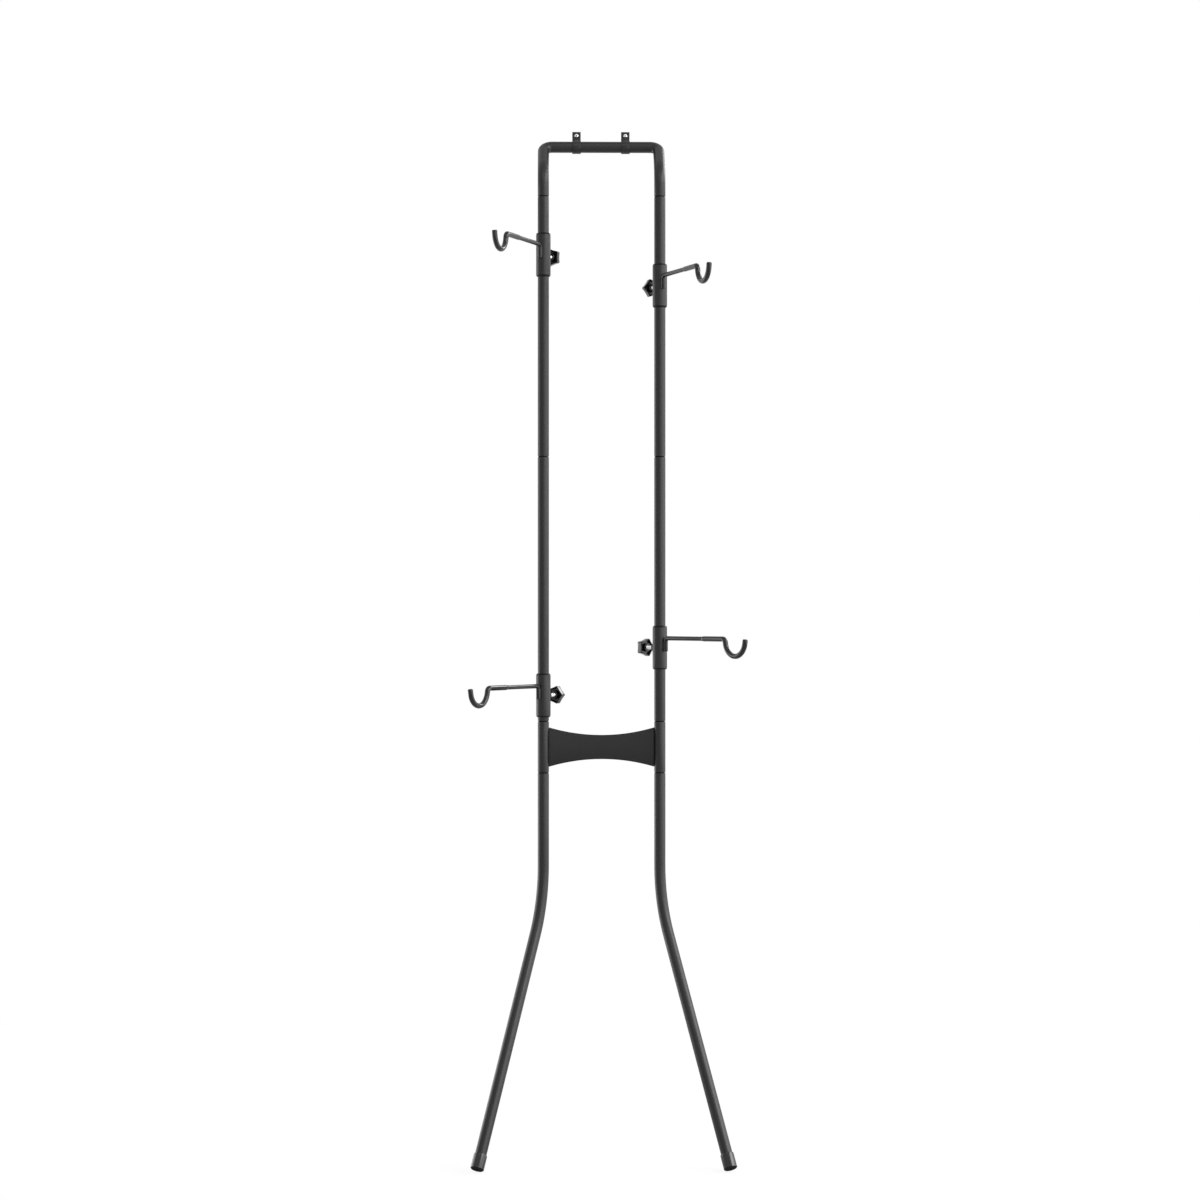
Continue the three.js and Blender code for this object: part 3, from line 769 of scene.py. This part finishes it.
class RACK_OT_brace_plate(bpy.types.Operator):
    """Adds the hollow-edged plate between the brace tubes, with its welds"""

    bl_idname = "rack.brace_plate"
    bl_label = "Brace plate"

    def execute(self, context):
        tubes = context.scene.rack_tubes
        low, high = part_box("brace_plate")
        half_length = high.x
        middle_z = (low.z + high.z) / 2
        end_height = high.z - low.z
        hollow = (end_height - tubes.plate_middle) / 2
        arc_radius = (half_length**2 + hollow**2) / (2 * hollow)
        half_angle = math.asin(half_length / arc_radius)
        steps = 48
        rim = []
        for step in range(steps + 1):
            angle = half_angle * (1 - 2 * step / steps)
            rise = tubes.plate_middle / 2 + arc_radius * (1 - math.cos(angle))
            rim.append((arc_radius * math.sin(angle), rise))
        rim += [(-x, -z) for x, z in rim]
        ease, near = 0.0005, 0.3  # an edge's rounding, and its middle's share of it
        half = tubes.plate_thickness / 2
        layers = [(half, ease), (half - ease * near, ease * near), (half - ease, 0)]
        layers += [(-depth, inset) for depth, inset in reversed(layers)]
        vertices, rings = [], []
        for depth, inset in layers:
            rings.append(range(len(vertices), len(vertices) + len(rim)))
            for x, z in rim:
                inner_z = z - math.copysign(inset, z)
                inner_x = x - math.copysign(inset, x) if abs(x) > half_length - ease else x
                vertices.append(Vector((inner_x, POLE_Y + depth, middle_z + inner_z)))
        faces = ring_faces(rings, False)
        last = len(rim) - 1
        for index in range(steps):
            corners = (index, index + 1, last - index - 1, last - index)
            faces.append([rings[-1][corner] for corner in corners])
            faces.append([rings[0][corner] for corner in reversed(corners)])
        beads = []
        bead_inset, bead_stop = 0.0006, 0.001  # from the plate's end, and from its top and bottom
        for x in (-half_length, half_length):
            for depth in (-half, half):
                foot = Vector((x + math.copysign(bead_inset, -x), POLE_Y + depth, low.z + bead_stop))
                head = Vector((foot.x, foot.y, high.z - bead_stop))
                beads.append(weld_bead(foot, head))
        piece = add_piece("brace_plate", joined((vertices, faces), *beads), "Satin black plate coat")

        # The plate's top and bottom edges are painted matt black: painted shade as a dark outline
        def shaded_thin_edge(polygon):
            between = abs(polygon.center.x) < half_length - tubes.plate_thickness
            return between and abs(polygon.normal.z) > FACING

        paint(piece, "Matt black primer", shaded_thin_edge)
        return {"FINISHED"}


class RACK_OT_legs(bpy.types.Operator):
    """Adds the two splayed legs"""

    bl_idname = "rack.legs"
    bl_label = "Legs"

    def execute(self, context):
        tubes = context.scene.rack_tubes
        radius, bore, _, _ = tube_radii(tubes)
        for side_name in SIDES:
            heading, foot = leg_line(side_name)
            top = pole_foot(side_name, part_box("leg_" + side_name)[1].z)
            corner = pole_foot(side_name, tubes.leg_corner_height)
            end = foot - heading * (tubes.cap_end + tubes.fit_gap)
            path = BarPath([top, corner, end], [tubes.leg_bend_radius], turn_step=math.radians(1.5))
            outline = eased(
                [
                    (tubes.seam_groove, bore, FINE_EDGE),
                    (tubes.seam_groove, radius, tubes.seam_round),
                    (path.length, radius, EDGE),
                    (path.length, bore, EDGE),
                ]
            )
            add_piece("leg_" + side_name, round_mesh(path, outline), "Satin black powder coat")
        return {"FINISHED"}


class RACK_OT_foot_caps(bpy.types.Operator):
    """Adds the rubber caps on the legs' ends, with ringed treads"""

    bl_idname = "rack.foot_caps"
    bl_label = "Foot caps"

    def execute(self, context):
        tubes = context.scene.rack_tubes
        spare = 1.1  # the chamfer is this much wider than the plain cap's, and so stays in its box
        groove_share, tread_share = 1.2, 0.8  # how deep and how wide the painted shade on the end reaches
        for side_name in SIDES:
            heading, foot = leg_line(side_name)
            bore = tubes.tube_radius + tubes.fit_gap
            radius = bore + tubes.cap_wall
            mouth = tubes.cap_end + tubes.cap_grip
            deep = tubes.tread_depth
            lip, lip_step, lip_edge = 0.0030, 0.0002, 0.0005
            chamfer = tubes.cap_chamfer * spare
            # The depth of each corner of the tread's rings, and its share of the radius
            rings = ((deep, 0.24), (0, 0.28), (0, 0.44), (deep, 0.48), (deep, 0.62), (0, 0.66))
            outline = eased(
                [
                    (deep, 0, 0),
                    *[(depth, radius * share, EDGE) for depth, share in rings],
                    (0, radius - chamfer, EDGE),
                    (chamfer, radius, EDGE),
                    (mouth - lip, radius, SOFT_EDGE),
                    (mouth - lip + 2 * lip_step, radius - lip_step, FINE_EDGE),
                    (mouth, radius - lip_step, lip_edge),
                    (mouth, bore, FINE_EDGE),
                    (tubes.cap_end, bore, 0),
                    (tubes.cap_end, 0, 0),
                ]
            )
            path = straight_path(foot, -heading)
            cap = add_piece("foot_cap_" + side_name, round_mesh(path, outline, sides=64), "Black rubber")

            # The cap's end and its chamfer get a dull rubber: painted shade, since the end faces the floor
            # and lies in shadow
            def shaded_end(polygon):
                arm = polygon.center - foot
                height = -arm.dot(heading)
                aside = (arm + heading * height).length
                return height < chamfer or (height < deep * groove_share and aside < radius * tread_share)

            paint(cap, "Worn rubber tread", shaded_end)
        return {"FINISHED"}


class RACK_OT_wall_clips(bpy.types.Operator):
    """Adds the straps that are bent round the crossbar"""

    bl_idname = "rack.wall_clips"
    bl_label = "Wall clips"

    def execute(self, context):
        tubes = context.scene.rack_tubes
        bar_y, bar_z, _ = crossbar()
        bore = tubes.tube_radius + tubes.fit_gap
        radius = bore + tubes.clip_thickness
        slot_front = bore - tubes.fit_gap
        tab_front = slot_front - tubes.clip_thickness
        for side_name in SIDES:
            low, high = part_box("wall_clip_" + side_name)
            top = high.z - bar_z
            middle = (low.x + high.x) / 2
            steps, edge_share = 48, 0.45
            start = math.acos(tab_front / radius)
            outer = [start + (2 * math.pi - start) * step / steps for step in range(steps + 1)]
            stop = math.acos(slot_front / bore)
            inner = [2 * math.pi + (stop - 2 * math.pi) * step / steps for step in range(steps + 1)]
            profile = [(radius * math.cos(a), radius * math.sin(a)) for a in outer]
            profile += [(radius, top), (bore, top)]
            profile += [(bore * math.cos(a), bore * math.sin(a)) for a in inner]
            profile += [(slot_front, top), (tab_front, top)]
            count = len(profile)
            vertices = []
            for x in (middle - tubes.clip_width / 2, middle + tubes.clip_width / 2):
                vertices += [Vector((x, bar_y + y, bar_z + z)) for y, z in profile]
            faces = [[i, (i + 1) % count, count + (i + 1) % count, count + i] for i in range(count)]
            faces += [list(range(count))[::-1], list(range(count, 2 * count))]
            clip = add_piece("wall_clip_" + side_name, (vertices, faces), "Satin black powder coat")
            centre = Vector((middle, bar_y, bar_z + tubes.clip_hole_height))
            hole = straight_path(centre, Vector((0, 1, 0)), UP)
            drill(clip, round_mesh(hole, plug_outline(tubes.clip_hole_radius, 2 * radius), sides=32))
            bevel = clip.modifiers.new("edges", "BEVEL")
            bevel.width = FULL_EDGE
            bevel.segments = 3
            bevel.limit_method = "ANGLE"
            bevel.angle_limit = math.radians(40)
            apply_modifiers(clip, crease=50)

            # The strap's sides are painted matt black: painted shade as a dark outline against the crossbar
            def shaded_side(polygon):
                out = abs(polygon.center.x - middle)
                return abs(polygon.normal.x) > FACING and out > tubes.clip_width * edge_share

            paint(clip, "Matt black primer", shaded_side)
        return {"FINISHED"}


class RACK_OT_wall_screws(bpy.types.Operator):
    """Adds the pan head screws through the clips' tabs"""

    bl_idname = "rack.wall_screws"
    bl_label = "Wall screws"

    def execute(self, context):
        tubes, _, clamps = settings()
        _, bar_z, _ = crossbar()
        rim_height, rim_round, crown_share, crown_round = 0.0012, 0.0009, 0.62, 0.0022
        recess_foot = 0.6  # a share of its mouth
        shade_top, shade_floor = 0.3, 1.1  # shares of the recess's depth that get painted shade
        for side_name in SIDES:
            low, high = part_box("wall_screw_" + side_name)
            middle = (low.x + high.x) / 2
            length = high.y - low.y
            shank = tubes.clip_hole_radius - tubes.fit_gap
            head = clamps.wall_head_radius
            seat = length - clamps.wall_head_height
            outline = eased(
                [
                    (0, 0, 0),
                    (0, shank, EDGE),
                    (seat, shank, FINE_EDGE),
                    (seat, head, SOFT_EDGE),
                    (seat + rim_height, head, rim_round),
                    (length, head * crown_share, crown_round),
                    (length, 0, 0),
                ],
                steps=6,
            )
            tip = Vector((middle, high.y, bar_z + tubes.clip_hole_height))
            front = Vector((0, -1, 0))
            screw = add_piece(
                "wall_screw_" + side_name,
                round_mesh(straight_path(tip, front, UP), outline, sides=40),
                "Bright zinc plate",
            )
            top = tip + front * length
            deep = clamps.recess_depth
            for angle in (math.radians(45), math.radians(135)):
                arm = Vector((math.cos(angle), 0, math.sin(angle))) * clamps.recess_reach
                across = front.cross(arm).normalized() * clamps.recess_width / 2
                slot = []
                for depth, taper in ((deep, 1), (-deep, recess_foot)):
                    centre = top + front * depth
                    for along, beside in ((-1, -1), (1, -1), (1, 1), (-1, 1)):
                        slot.append(centre + arm * along * taper + across * beside * taper)
                sides = [[0, 1, 5, 4], [1, 2, 6, 5], [2, 3, 7, 6], [3, 0, 4, 7], [3, 2, 1, 0], [4, 5, 6, 7]]
                drill(screw, (slot, sides))

            # The cross recess is painted matt black: painted shade inside the recess
            def shaded_recess(polygon):
                down = (top - polygon.center).dot(front)
                beside = (top - polygon.center - front * down).length
                within = deep * shade_top < down < deep * shade_floor
                return within and beside < clamps.recess_reach

            paint(screw, "Matt black primer", shaded_recess)
        return {"FINISHED"}


# Pieces of the arms


class RACK_OT_sleeves(bpy.types.Operator):
    """Adds the sleeves round the poles"""

    bl_idname = "rack.sleeves"
    bl_label = "Sleeves"

    def execute(self, context):
        tubes, arms, clamps = settings()
        bore, radius = sleeve_radii(tubes, arms)
        half, rounding = arms.sleeve_length / 2, 0.0007
        outline = eased(
            [(-half, bore, EDGE), (-half, radius, rounding), (half, radius, rounding), (half, bore, EDGE)]
        )
        hole = plug_outline(clamps.screw_radius + tubes.fit_gap, 2 * radius)
        for arm, middle, back in placed_arms():
            mesh_data = round_mesh(straight_path(middle, UP), outline, sides=64)
            sleeve = add_piece(arm + "_sleeve", mesh_data, "Satin black powder coat")
            drill(sleeve, round_mesh(straight_path(middle, back, UP), hole, sides=32))
        return {"FINISHED"}


class RACK_OT_bushes(bpy.types.Operator):
    """Adds the nylon bushes in the sleeves' ends"""

    bl_idname = "rack.bushes"
    bl_label = "Bushes"

    def execute(self, context):
        tubes, arms, _ = settings()
        bore = tubes.tube_radius + tubes.fit_gap
        insert = bore + arms.bush_wall
        collar = sleeve_radii(tubes, arms)[1] - arms.collar_inset
        inner = arms.sleeve_length / 2 - arms.bush_insert
        seat = arms.sleeve_length / 2 + tubes.fit_gap
        outer = seat + arms.collar_height
        land = 0.0009  # the collar's straight side, below its slope to the pole
        outline = eased(
            [
                (inner, bore, FINE_EDGE),
                (inner, insert, SOFT_EDGE),
                (seat, insert, 0),
                (seat, collar, EDGE),
                (seat + land, collar, FULL_EDGE),
                (outer, insert, SOFT_EDGE),
                (outer, bore, FINE_EDGE),
            ]
        )
        for arm, middle, _ in placed_arms():
            for end, way in (("_top_bush", UP), ("_bottom_bush", -UP)):
                mesh_data = round_mesh(straight_path(middle, way), outline, sides=64)
                add_piece(arm + end, mesh_data, "Black nylon")
        return {"FINISHED"}


def hook_corners(arms, middle, back, tip_less):
    """The corners of an arm's centreline round its hook, less a length at the tip."""
    half_mouth = arms.hook_mouth / 2
    level = middle + UP * arms.rod_height
    neck = level - back * arms.arm_reach
    apex = level - back * (arms.arm_reach + half_mouth) - UP * (half_mouth / math.tan(HOOK_LEAN))
    tip = level - back * (arms.arm_reach + arms.hook_mouth)
    tip = tip + (apex - tip).normalized() * tip_less
    low = half_mouth * math.cos(HOOK_LEAN) - arms.hook_depth * math.sin(HOOK_LEAN)
    bottom = low / (1 - math.sin(HOOK_LEAN))
    return [neck, apex, tip], [arms.hook_neck_radius, bottom]


class RACK_OT_arm_rods(bpy.types.Operator):
    """Adds the rods that are welded to the sleeves and hooked at their ends"""

    bl_idname = "rack.arm_rods"
    bl_label = "Arm rods"

    def execute(self, context):
        tubes, arms, _ = settings()
        offset = sleeve_radii(tubes, arms)[1] + tubes.fit_gap + arms.rod_radius
        bead_aside, bead_sunk = 0.0031, 0.0007
        bead_top, bead_bottom = 0.0045, arms.rod_leg - 0.0015  # below the rod's axis
        for arm, middle, back in placed_arms():
            corners, radii = hook_corners(arms, middle, back, arms.cover_tip + tubes.fit_gap)
            level = middle + UP * arms.rod_height - back * offset
            across = back.cross(UP)
            points = [level - UP * arms.rod_leg, level, *corners]
            path = BarPath(points, [arms.rod_bend_radius, *radii], across, turn_step=math.radians(6))
            length, radius = path.length, arms.rod_radius
            outline = eased([(0, 0, 0), (0, radius, FULL_EDGE), (length, radius, FULL_EDGE), (length, 0, 0)])
            rod = round_mesh(path, outline, sides=28)
            beads = []
            for way in (-1, 1):
                crevice = level + across * way * bead_aside + back * (radius - bead_sunk)
                beads.append(weld_bead(crevice - UP * bead_bottom, crevice - UP * bead_top))
            add_piece(arm + "_arm_rod", joined(rod, *beads), "Gloss black powder coat")
        return {"FINISHED"}


class RACK_OT_hook_covers(bpy.types.Operator):
    """Adds the vinyl covers over the arms' ends and hooks"""

    bl_idname = "rack.hook_covers"
    bl_label = "Hook covers"

    def execute(self, context):
        tubes, arms, _ = settings()
        bore = arms.rod_radius + tubes.fit_gap
        radius = bore + arms.cover_wall
        tip_round, taper_round, inner_round = 0.0024, 0.004, 0.0008
        lip_wall, lip_round = 0.0003, 0.0001
        for arm, middle, back in placed_arms():
            corners, radii = hook_corners(arms, middle, back, 0)
            start = middle + UP * arms.rod_height - back * arms.cover_start
            path = BarPath([start, *corners], radii, back.cross(UP), turn_step=math.radians(5))
            outline = eased(
                [
                    (path.length, 0, 0),
                    (path.length, radius, tip_round),
                    (arms.cover_taper, radius, taper_round),
                    (0, bore + lip_wall, lip_round),
                    (0, bore, 0),
                    (path.length - arms.cover_tip, bore, inner_round),
                    (path.length - arms.cover_tip, 0, 0),
                ]
            )
            mesh_data = round_mesh(path, outline, sides=36)
            add_piece(arm + "_hook_cover", mesh_data, "Glossy black vinyl")
        return {"FINISHED"}


def shaped_rings(start, heading, across, rings):
    """A mesh of rings along a heading, each a distance and a function from angle to radius."""
    sides = 120
    other = heading.cross(across)
    vertices, rows = [], []
    for distance, reach in rings:
        if reach is None:
            rows.append([len(vertices)] * sides)
            vertices.append(start + heading * distance)
            continue
        rows.append(range(len(vertices), len(vertices) + sides))
        for side in range(sides):
            angle = 2 * math.pi * side / sides
            out = reach(angle) if callable(reach) else reach
            direction = across * math.cos(angle) + other * math.sin(angle)
            vertices.append(start + heading * distance + direction * out)
    return vertices, rows


class RACK_OT_clamp_nuts(bpy.types.Operator):
    """Adds the hexagon nuts on the sleeves' backs"""

    bl_idname = "rack.clamp_nuts"
    bl_label = "Clamp nuts"

    def execute(self, context):
        tubes, arms, clamps = settings()
        half_flat = clamps.nut_flats / 2
        bore = clamps.screw_radius + tubes.fit_gap
        start = sleeve_radii(tubes, arms)[1] + tubes.fit_gap
        end = start + clamps.nut_length

        def hexagon(most):
            def reach(angle):
                across_flat = half_flat / math.cos((angle % (math.pi / 3)) - math.pi / 6)
                return min(across_flat, most)

            return reach

        corner = half_flat / math.cos(math.pi / 6)
        foot_height, foot_share, shoulder_share, face_share = 0.0005, 1.03, 1.05, 0.98
        rings = [
            (start, hexagon(half_flat * foot_share)),
            (start + foot_height, hexagon(corner)),
            (end - FULL_EDGE, hexagon(corner)),
            (end - FINE_EDGE, hexagon(half_flat * shoulder_share)),
            (end, hexagon(half_flat * face_share)),
            (end, bore + FULL_EDGE),
            (end - FULL_EDGE, bore),
            (start, bore),
        ]
        for arm, middle, back in placed_arms():
            vertices, rows = shaped_rings(middle, back, UP, rings)
            mesh_data = (vertices, ring_faces(rows, True))
            add_piece(arm + "_clamp_nut", mesh_data, "Satin black powder coat", crease=25)
        return {"FINISHED"}


def knob_hub_start(tubes, arms, clamps):
    """The distance from the pole's axis to the start of a knob's hub."""
    nut_start = sleeve_radii(tubes, arms)[1] + tubes.fit_gap
    return nut_start + clamps.nut_length + clamps.screw_showing


class RACK_OT_clamp_screws(bpy.types.Operator):
    """Adds the threaded clamp screws"""

    bl_idname = "rack.clamp_screws"
    bl_label = "Clamp screws"

    def execute(self, context):
        tubes, arms, clamps = settings()
        start = tubes.tube_radius + tubes.fit_gap
        face = knob_hub_start(tubes, arms, clamps) + clamps.hub_length + clamps.knob_thickness
        end = face - clamps.knob_floor - tubes.fit_gap
        radius, pitch = clamps.screw_radius, clamps.screw_pitch
        fade, point = 0.0012, 0.0007  # where the thread runs out, and the bevel of the screw's end
        depth, flank, steps_a_turn = pitch * 0.5, 2.6, 8

        def thread(distance, angle, reach):
            phase = (distance / pitch + angle / (2 * math.pi)) % 1
            groove = max(0, 1 - abs(phase - 0.5) * flank)
            ends = min(1, (distance - start) / fade, (end - distance) / fade)
            return reach - depth * groove * max(0, ends)

        count = round((end - start) / (pitch / steps_a_turn))
        outline = [(start, 0), (start, radius - point)]
        for index in range(1, count):
            distance = start + (end - start) * index / count
            outline.append((distance, min(radius, radius - point + (distance - start))))
        outline += [(end, radius - FINE_EDGE), (end, 0)]
        for arm, middle, back in placed_arms():
            mesh_data = round_mesh(straight_path(middle, back, UP), outline, sides=24, thread=thread)
            add_piece(arm + "_clamp_screw", mesh_data, "Bright zinc plate", crease=60)
        return {"FINISHED"}


class RACK_OT_star_knobs(bpy.types.Operator):
    """Adds the five lobed knobs, hollow round their hubs"""

    bl_idname = "rack.star_knobs"
    bl_label = "Star knobs"

    def execute(self, context):
        tubes, arms, clamps = settings()
        hub_start = knob_hub_start(tubes, arms, clamps)
        rim = hub_start + clamps.hub_length
        face = rim + clamps.knob_thickness
        bore = clamps.screw_radius + tubes.fit_gap
        floor = face - clamps.knob_floor
        inner = rim + clamps.knob_hollow
        rib = clamps.knob_rib
        hub = clamps.hub_radius
        ease, ease_steps = clamps.knob_round, 4
        soft = FULL_EDGE
        lobe = 2 * math.pi / KNOB_LOBES
        tip = lobe / 2 - KNOB_TIP
        flat = clamps.knob_radius * math.cos(tip)

        def star(inset):
            def reach(angle):
                turned = lobe / 2 - abs((angle + lobe / 2) % lobe - lobe / 2)
                hollow = (flat - clamps.knob_valley) * (1 - (math.tan(turned) / math.tan(tip)) ** 2)
                return min((flat - hollow) / math.cos(turned), clamps.knob_radius) - inset

            return reach

        rings = [(floor, None), (floor, bore - soft), (floor - soft, bore)]
        rings += [(hub_start + soft, bore), (hub_start, bore + soft)]
        rings += [(hub_start, hub - soft), (hub_start + soft, hub)]
        rings += [(inner - soft, hub + soft), (inner, hub + 2 * soft)]
        rings += [(inner, star(rib + 2 * soft)), (inner - soft, star(rib + soft))]
        rings += [(rim + soft, star(rib)), (rim, star(rib - soft)), (rim, star(ease))]
        turns = [math.pi / 2 * step / ease_steps for step in range(ease_steps + 1)]
        for turn in turns[1:]:
            rings.append((rim + ease * (1 - math.cos(turn)), star(ease * (1 - math.sin(turn)))))
        for turn in turns:
            rings.append((face - ease * (1 - math.sin(turn)), star(ease * (1 - math.cos(turn)))))
        rings += [(face, hub + 2 * soft), (face - soft, hub + soft), (face - soft, None)]
        for arm, middle, back in placed_arms():
            sideways = back.cross(UP) if arm.startswith("upper") else UP.cross(back)
            vertices, rows = shaped_rings(middle, back, -sideways, rings)
            mesh_data = (vertices, ring_faces(rows, False))
            add_piece(arm + "_star_knob", mesh_data, "Glossy black knob plastic", crease=40)
        return {"FINISHED"}


# The stage


def seeing_rays(tree):
    """One for camera, glossy and transmission rays, and zero for the others."""
    rays = add_node(tree, "ShaderNodeLightPath", {})
    seen = rays.outputs["Is Camera Ray"]
    for kind in ("Is Glossy Ray", "Is Transmission Ray"):
        either = add_node(tree, "ShaderNodeMath", {0: seen, 1: rays.outputs[kind]}, operation="MAXIMUM")
        seen = either.outputs[0]
    return seen


def show_mixed(tree, share, first, second, output):
    """Shows the second shader by a share, and the first for the rest."""
    mix = add_node(tree, "ShaderNodeMixShader", {"Fac": share, 1: first, 2: second})
    tree.links.new(mix.outputs["Shader"], tree.nodes[output].inputs["Surface"])


def stage_finish(name, colour):
    """A pale surface that the camera sees nearly white, with the rack's soft shadow on it."""
    finish, tree, shader, place = new_finish(name, colour, roughness=0.9, metallic=0.0, specular=0.1)
    reach = add_node(tree, "ShaderNodeVectorMath", {0: place}, operation="LENGTH")
    fade = spread(tree, reach.outputs["Value"], FLOOR_SHOW, 1, *FLOOR_FADE)
    part = add_node(tree, "ShaderNodeMath", {0: seeing_rays(tree), 1: fade}, operation="MULTIPLY")
    glow = add_node(tree, "ShaderNodeEmission", {"Color": WHITE, "Strength": 1})
    show_mixed(tree, part.outputs[0], shader.outputs["BSDF"], glow.outputs["Emission"], "Material Output")
    return finish


def soft_lamp(name, place, target, width, height, power):
    """A large rectangular lamp turned toward a point."""
    light = bpy.data.lights.new(name, "AREA")
    light.shape = "RECTANGLE"
    light.size = width
    light.size_y = height
    light.energy = power
    lamp = bpy.data.objects.new(name, light)
    lamp.location = place
    lamp.rotation_euler = (Vector(target) - Vector(place)).to_track_quat("-Z", "Y").to_euler()
    bpy.context.scene.collection.objects.link(lamp)


class RACK_OT_stage(bpy.types.Operator):
    """Adds the floor, the light and the camera"""

    bl_idname = "rack.stage"
    bl_label = "Stage"

    def execute(self, context):
        scene = context.scene
        colours, stage = scene.rack_colours, scene.rack_stage
        mesh = bpy.data.meshes.new("floor")
        corners = [(x * FLOOR_REACH, y * FLOOR_REACH, 0) for x, y in ((-1, -1), (1, -1), (1, 1), (-1, 1))]
        mesh.from_pydata(corners, [], [(0, 1, 2, 3)])
        mesh.materials.append(stage_finish("Pale floor", tuple(colours.floor)))
        floor = bpy.data.objects.new("floor", mesh)
        scene.collection.objects.link(floor)

        world = bpy.data.worlds.new("Studio")
        world.use_nodes = True
        tree = world.node_tree
        soft = tree.nodes["Background"]
        soft.inputs["Color"].default_value = WHITE
        soft.inputs["Strength"].default_value = SOFT_WORLD
        white = add_node(tree, "ShaderNodeBackground", {"Color": WHITE, "Strength": 1})
        backgrounds = soft.outputs["Background"], white.outputs["Background"]
        show_mixed(tree, seeing_rays(tree), *backgrounds, "World Output")
        scene.world = world

        for lamp in LAMPS:
            soft_lamp(*lamp)

        camera = bpy.data.objects.new("camera", bpy.data.cameras.new("camera"))
        camera.data.lens = CAMERA_LENS
        camera.data.sensor_width = CAMERA_SENSOR
        camera.data.shift_y = CAMERA_SHIFT
        camera.location = (stage.eye_offset, POLE_Y - stage.eye_distance, stage.eye_height)
        camera.rotation_euler = (math.pi / 2, 0, -CAMERA_TURN)
        scene.collection.objects.link(camera)
        scene.camera = camera
        scene.view_settings.view_transform = "Standard"
        return {"FINISHED"}


class RACK_PT_panel(bpy.types.Panel):
    """Lists the rack's pieces and sizes"""

    bl_idname = "RACK_PT_panel"
    bl_label = "Bike Rack"
    bl_space_type = "VIEW_3D"
    bl_region_type = "UI"
    bl_category = "Bike Rack"

    def draw(self, context):
        layout = self.layout
        for operator in OPERATORS:
            layout.operator(operator.bl_idname)
        for name in SETTINGS:
            box = layout.box()
            group = getattr(context.scene, name)
            for field in type(group).__annotations__:
                box.prop(group, field)


OPERATORS = (
    RACK_OT_stage,
    RACK_OT_poles,
    RACK_OT_top_bow,
    RACK_OT_brace_plate,
    RACK_OT_legs,
    RACK_OT_foot_caps,
    RACK_OT_wall_clips,
    RACK_OT_wall_screws,
    RACK_OT_sleeves,
    RACK_OT_bushes,
    RACK_OT_arm_rods,
    RACK_OT_hook_covers,
    RACK_OT_clamp_nuts,
    RACK_OT_clamp_screws,
    RACK_OT_star_knobs,
)
SETTINGS = {
    "rack_tubes": BikeRackTubeSizes,
    "rack_arms": BikeRackArmSizes,
    "rack_clamps": BikeRackClampSizes,
    "rack_colours": BikeRackColours,
    "rack_stage": BikeRackStage,
}


def register():
    for group in SETTINGS.values():
        bpy.utils.register_class(group)
    for name, group in SETTINGS.items():
        setattr(bpy.types.Scene, name, PointerProperty(type=group))
    for operator in OPERATORS:
        bpy.utils.register_class(operator)
    bpy.utils.register_class(RACK_PT_panel)


def unregister():
    bpy.utils.unregister_class(RACK_PT_panel)
    for operator in reversed(OPERATORS):
        bpy.utils.unregister_class(operator)
    for name, group in SETTINGS.items():
        delattr(bpy.types.Scene, name)
        bpy.utils.unregister_class(group)


def main():
    register()
    for make in (
        bpy.ops.rack.stage,
        bpy.ops.rack.poles,
        bpy.ops.rack.top_bow,
        bpy.ops.rack.brace_plate,
        bpy.ops.rack.legs,
        bpy.ops.rack.foot_caps,
        bpy.ops.rack.wall_clips,
        bpy.ops.rack.wall_screws,
        bpy.ops.rack.sleeves,
        bpy.ops.rack.bushes,
        bpy.ops.rack.arm_rods,
        bpy.ops.rack.hook_covers,
        bpy.ops.rack.clamp_nuts,
        bpy.ops.rack.clamp_screws,
        bpy.ops.rack.star_knobs,
    ):
        make()
    bpy.context.view_layer.update()


if __name__ == "__main__":
    main()
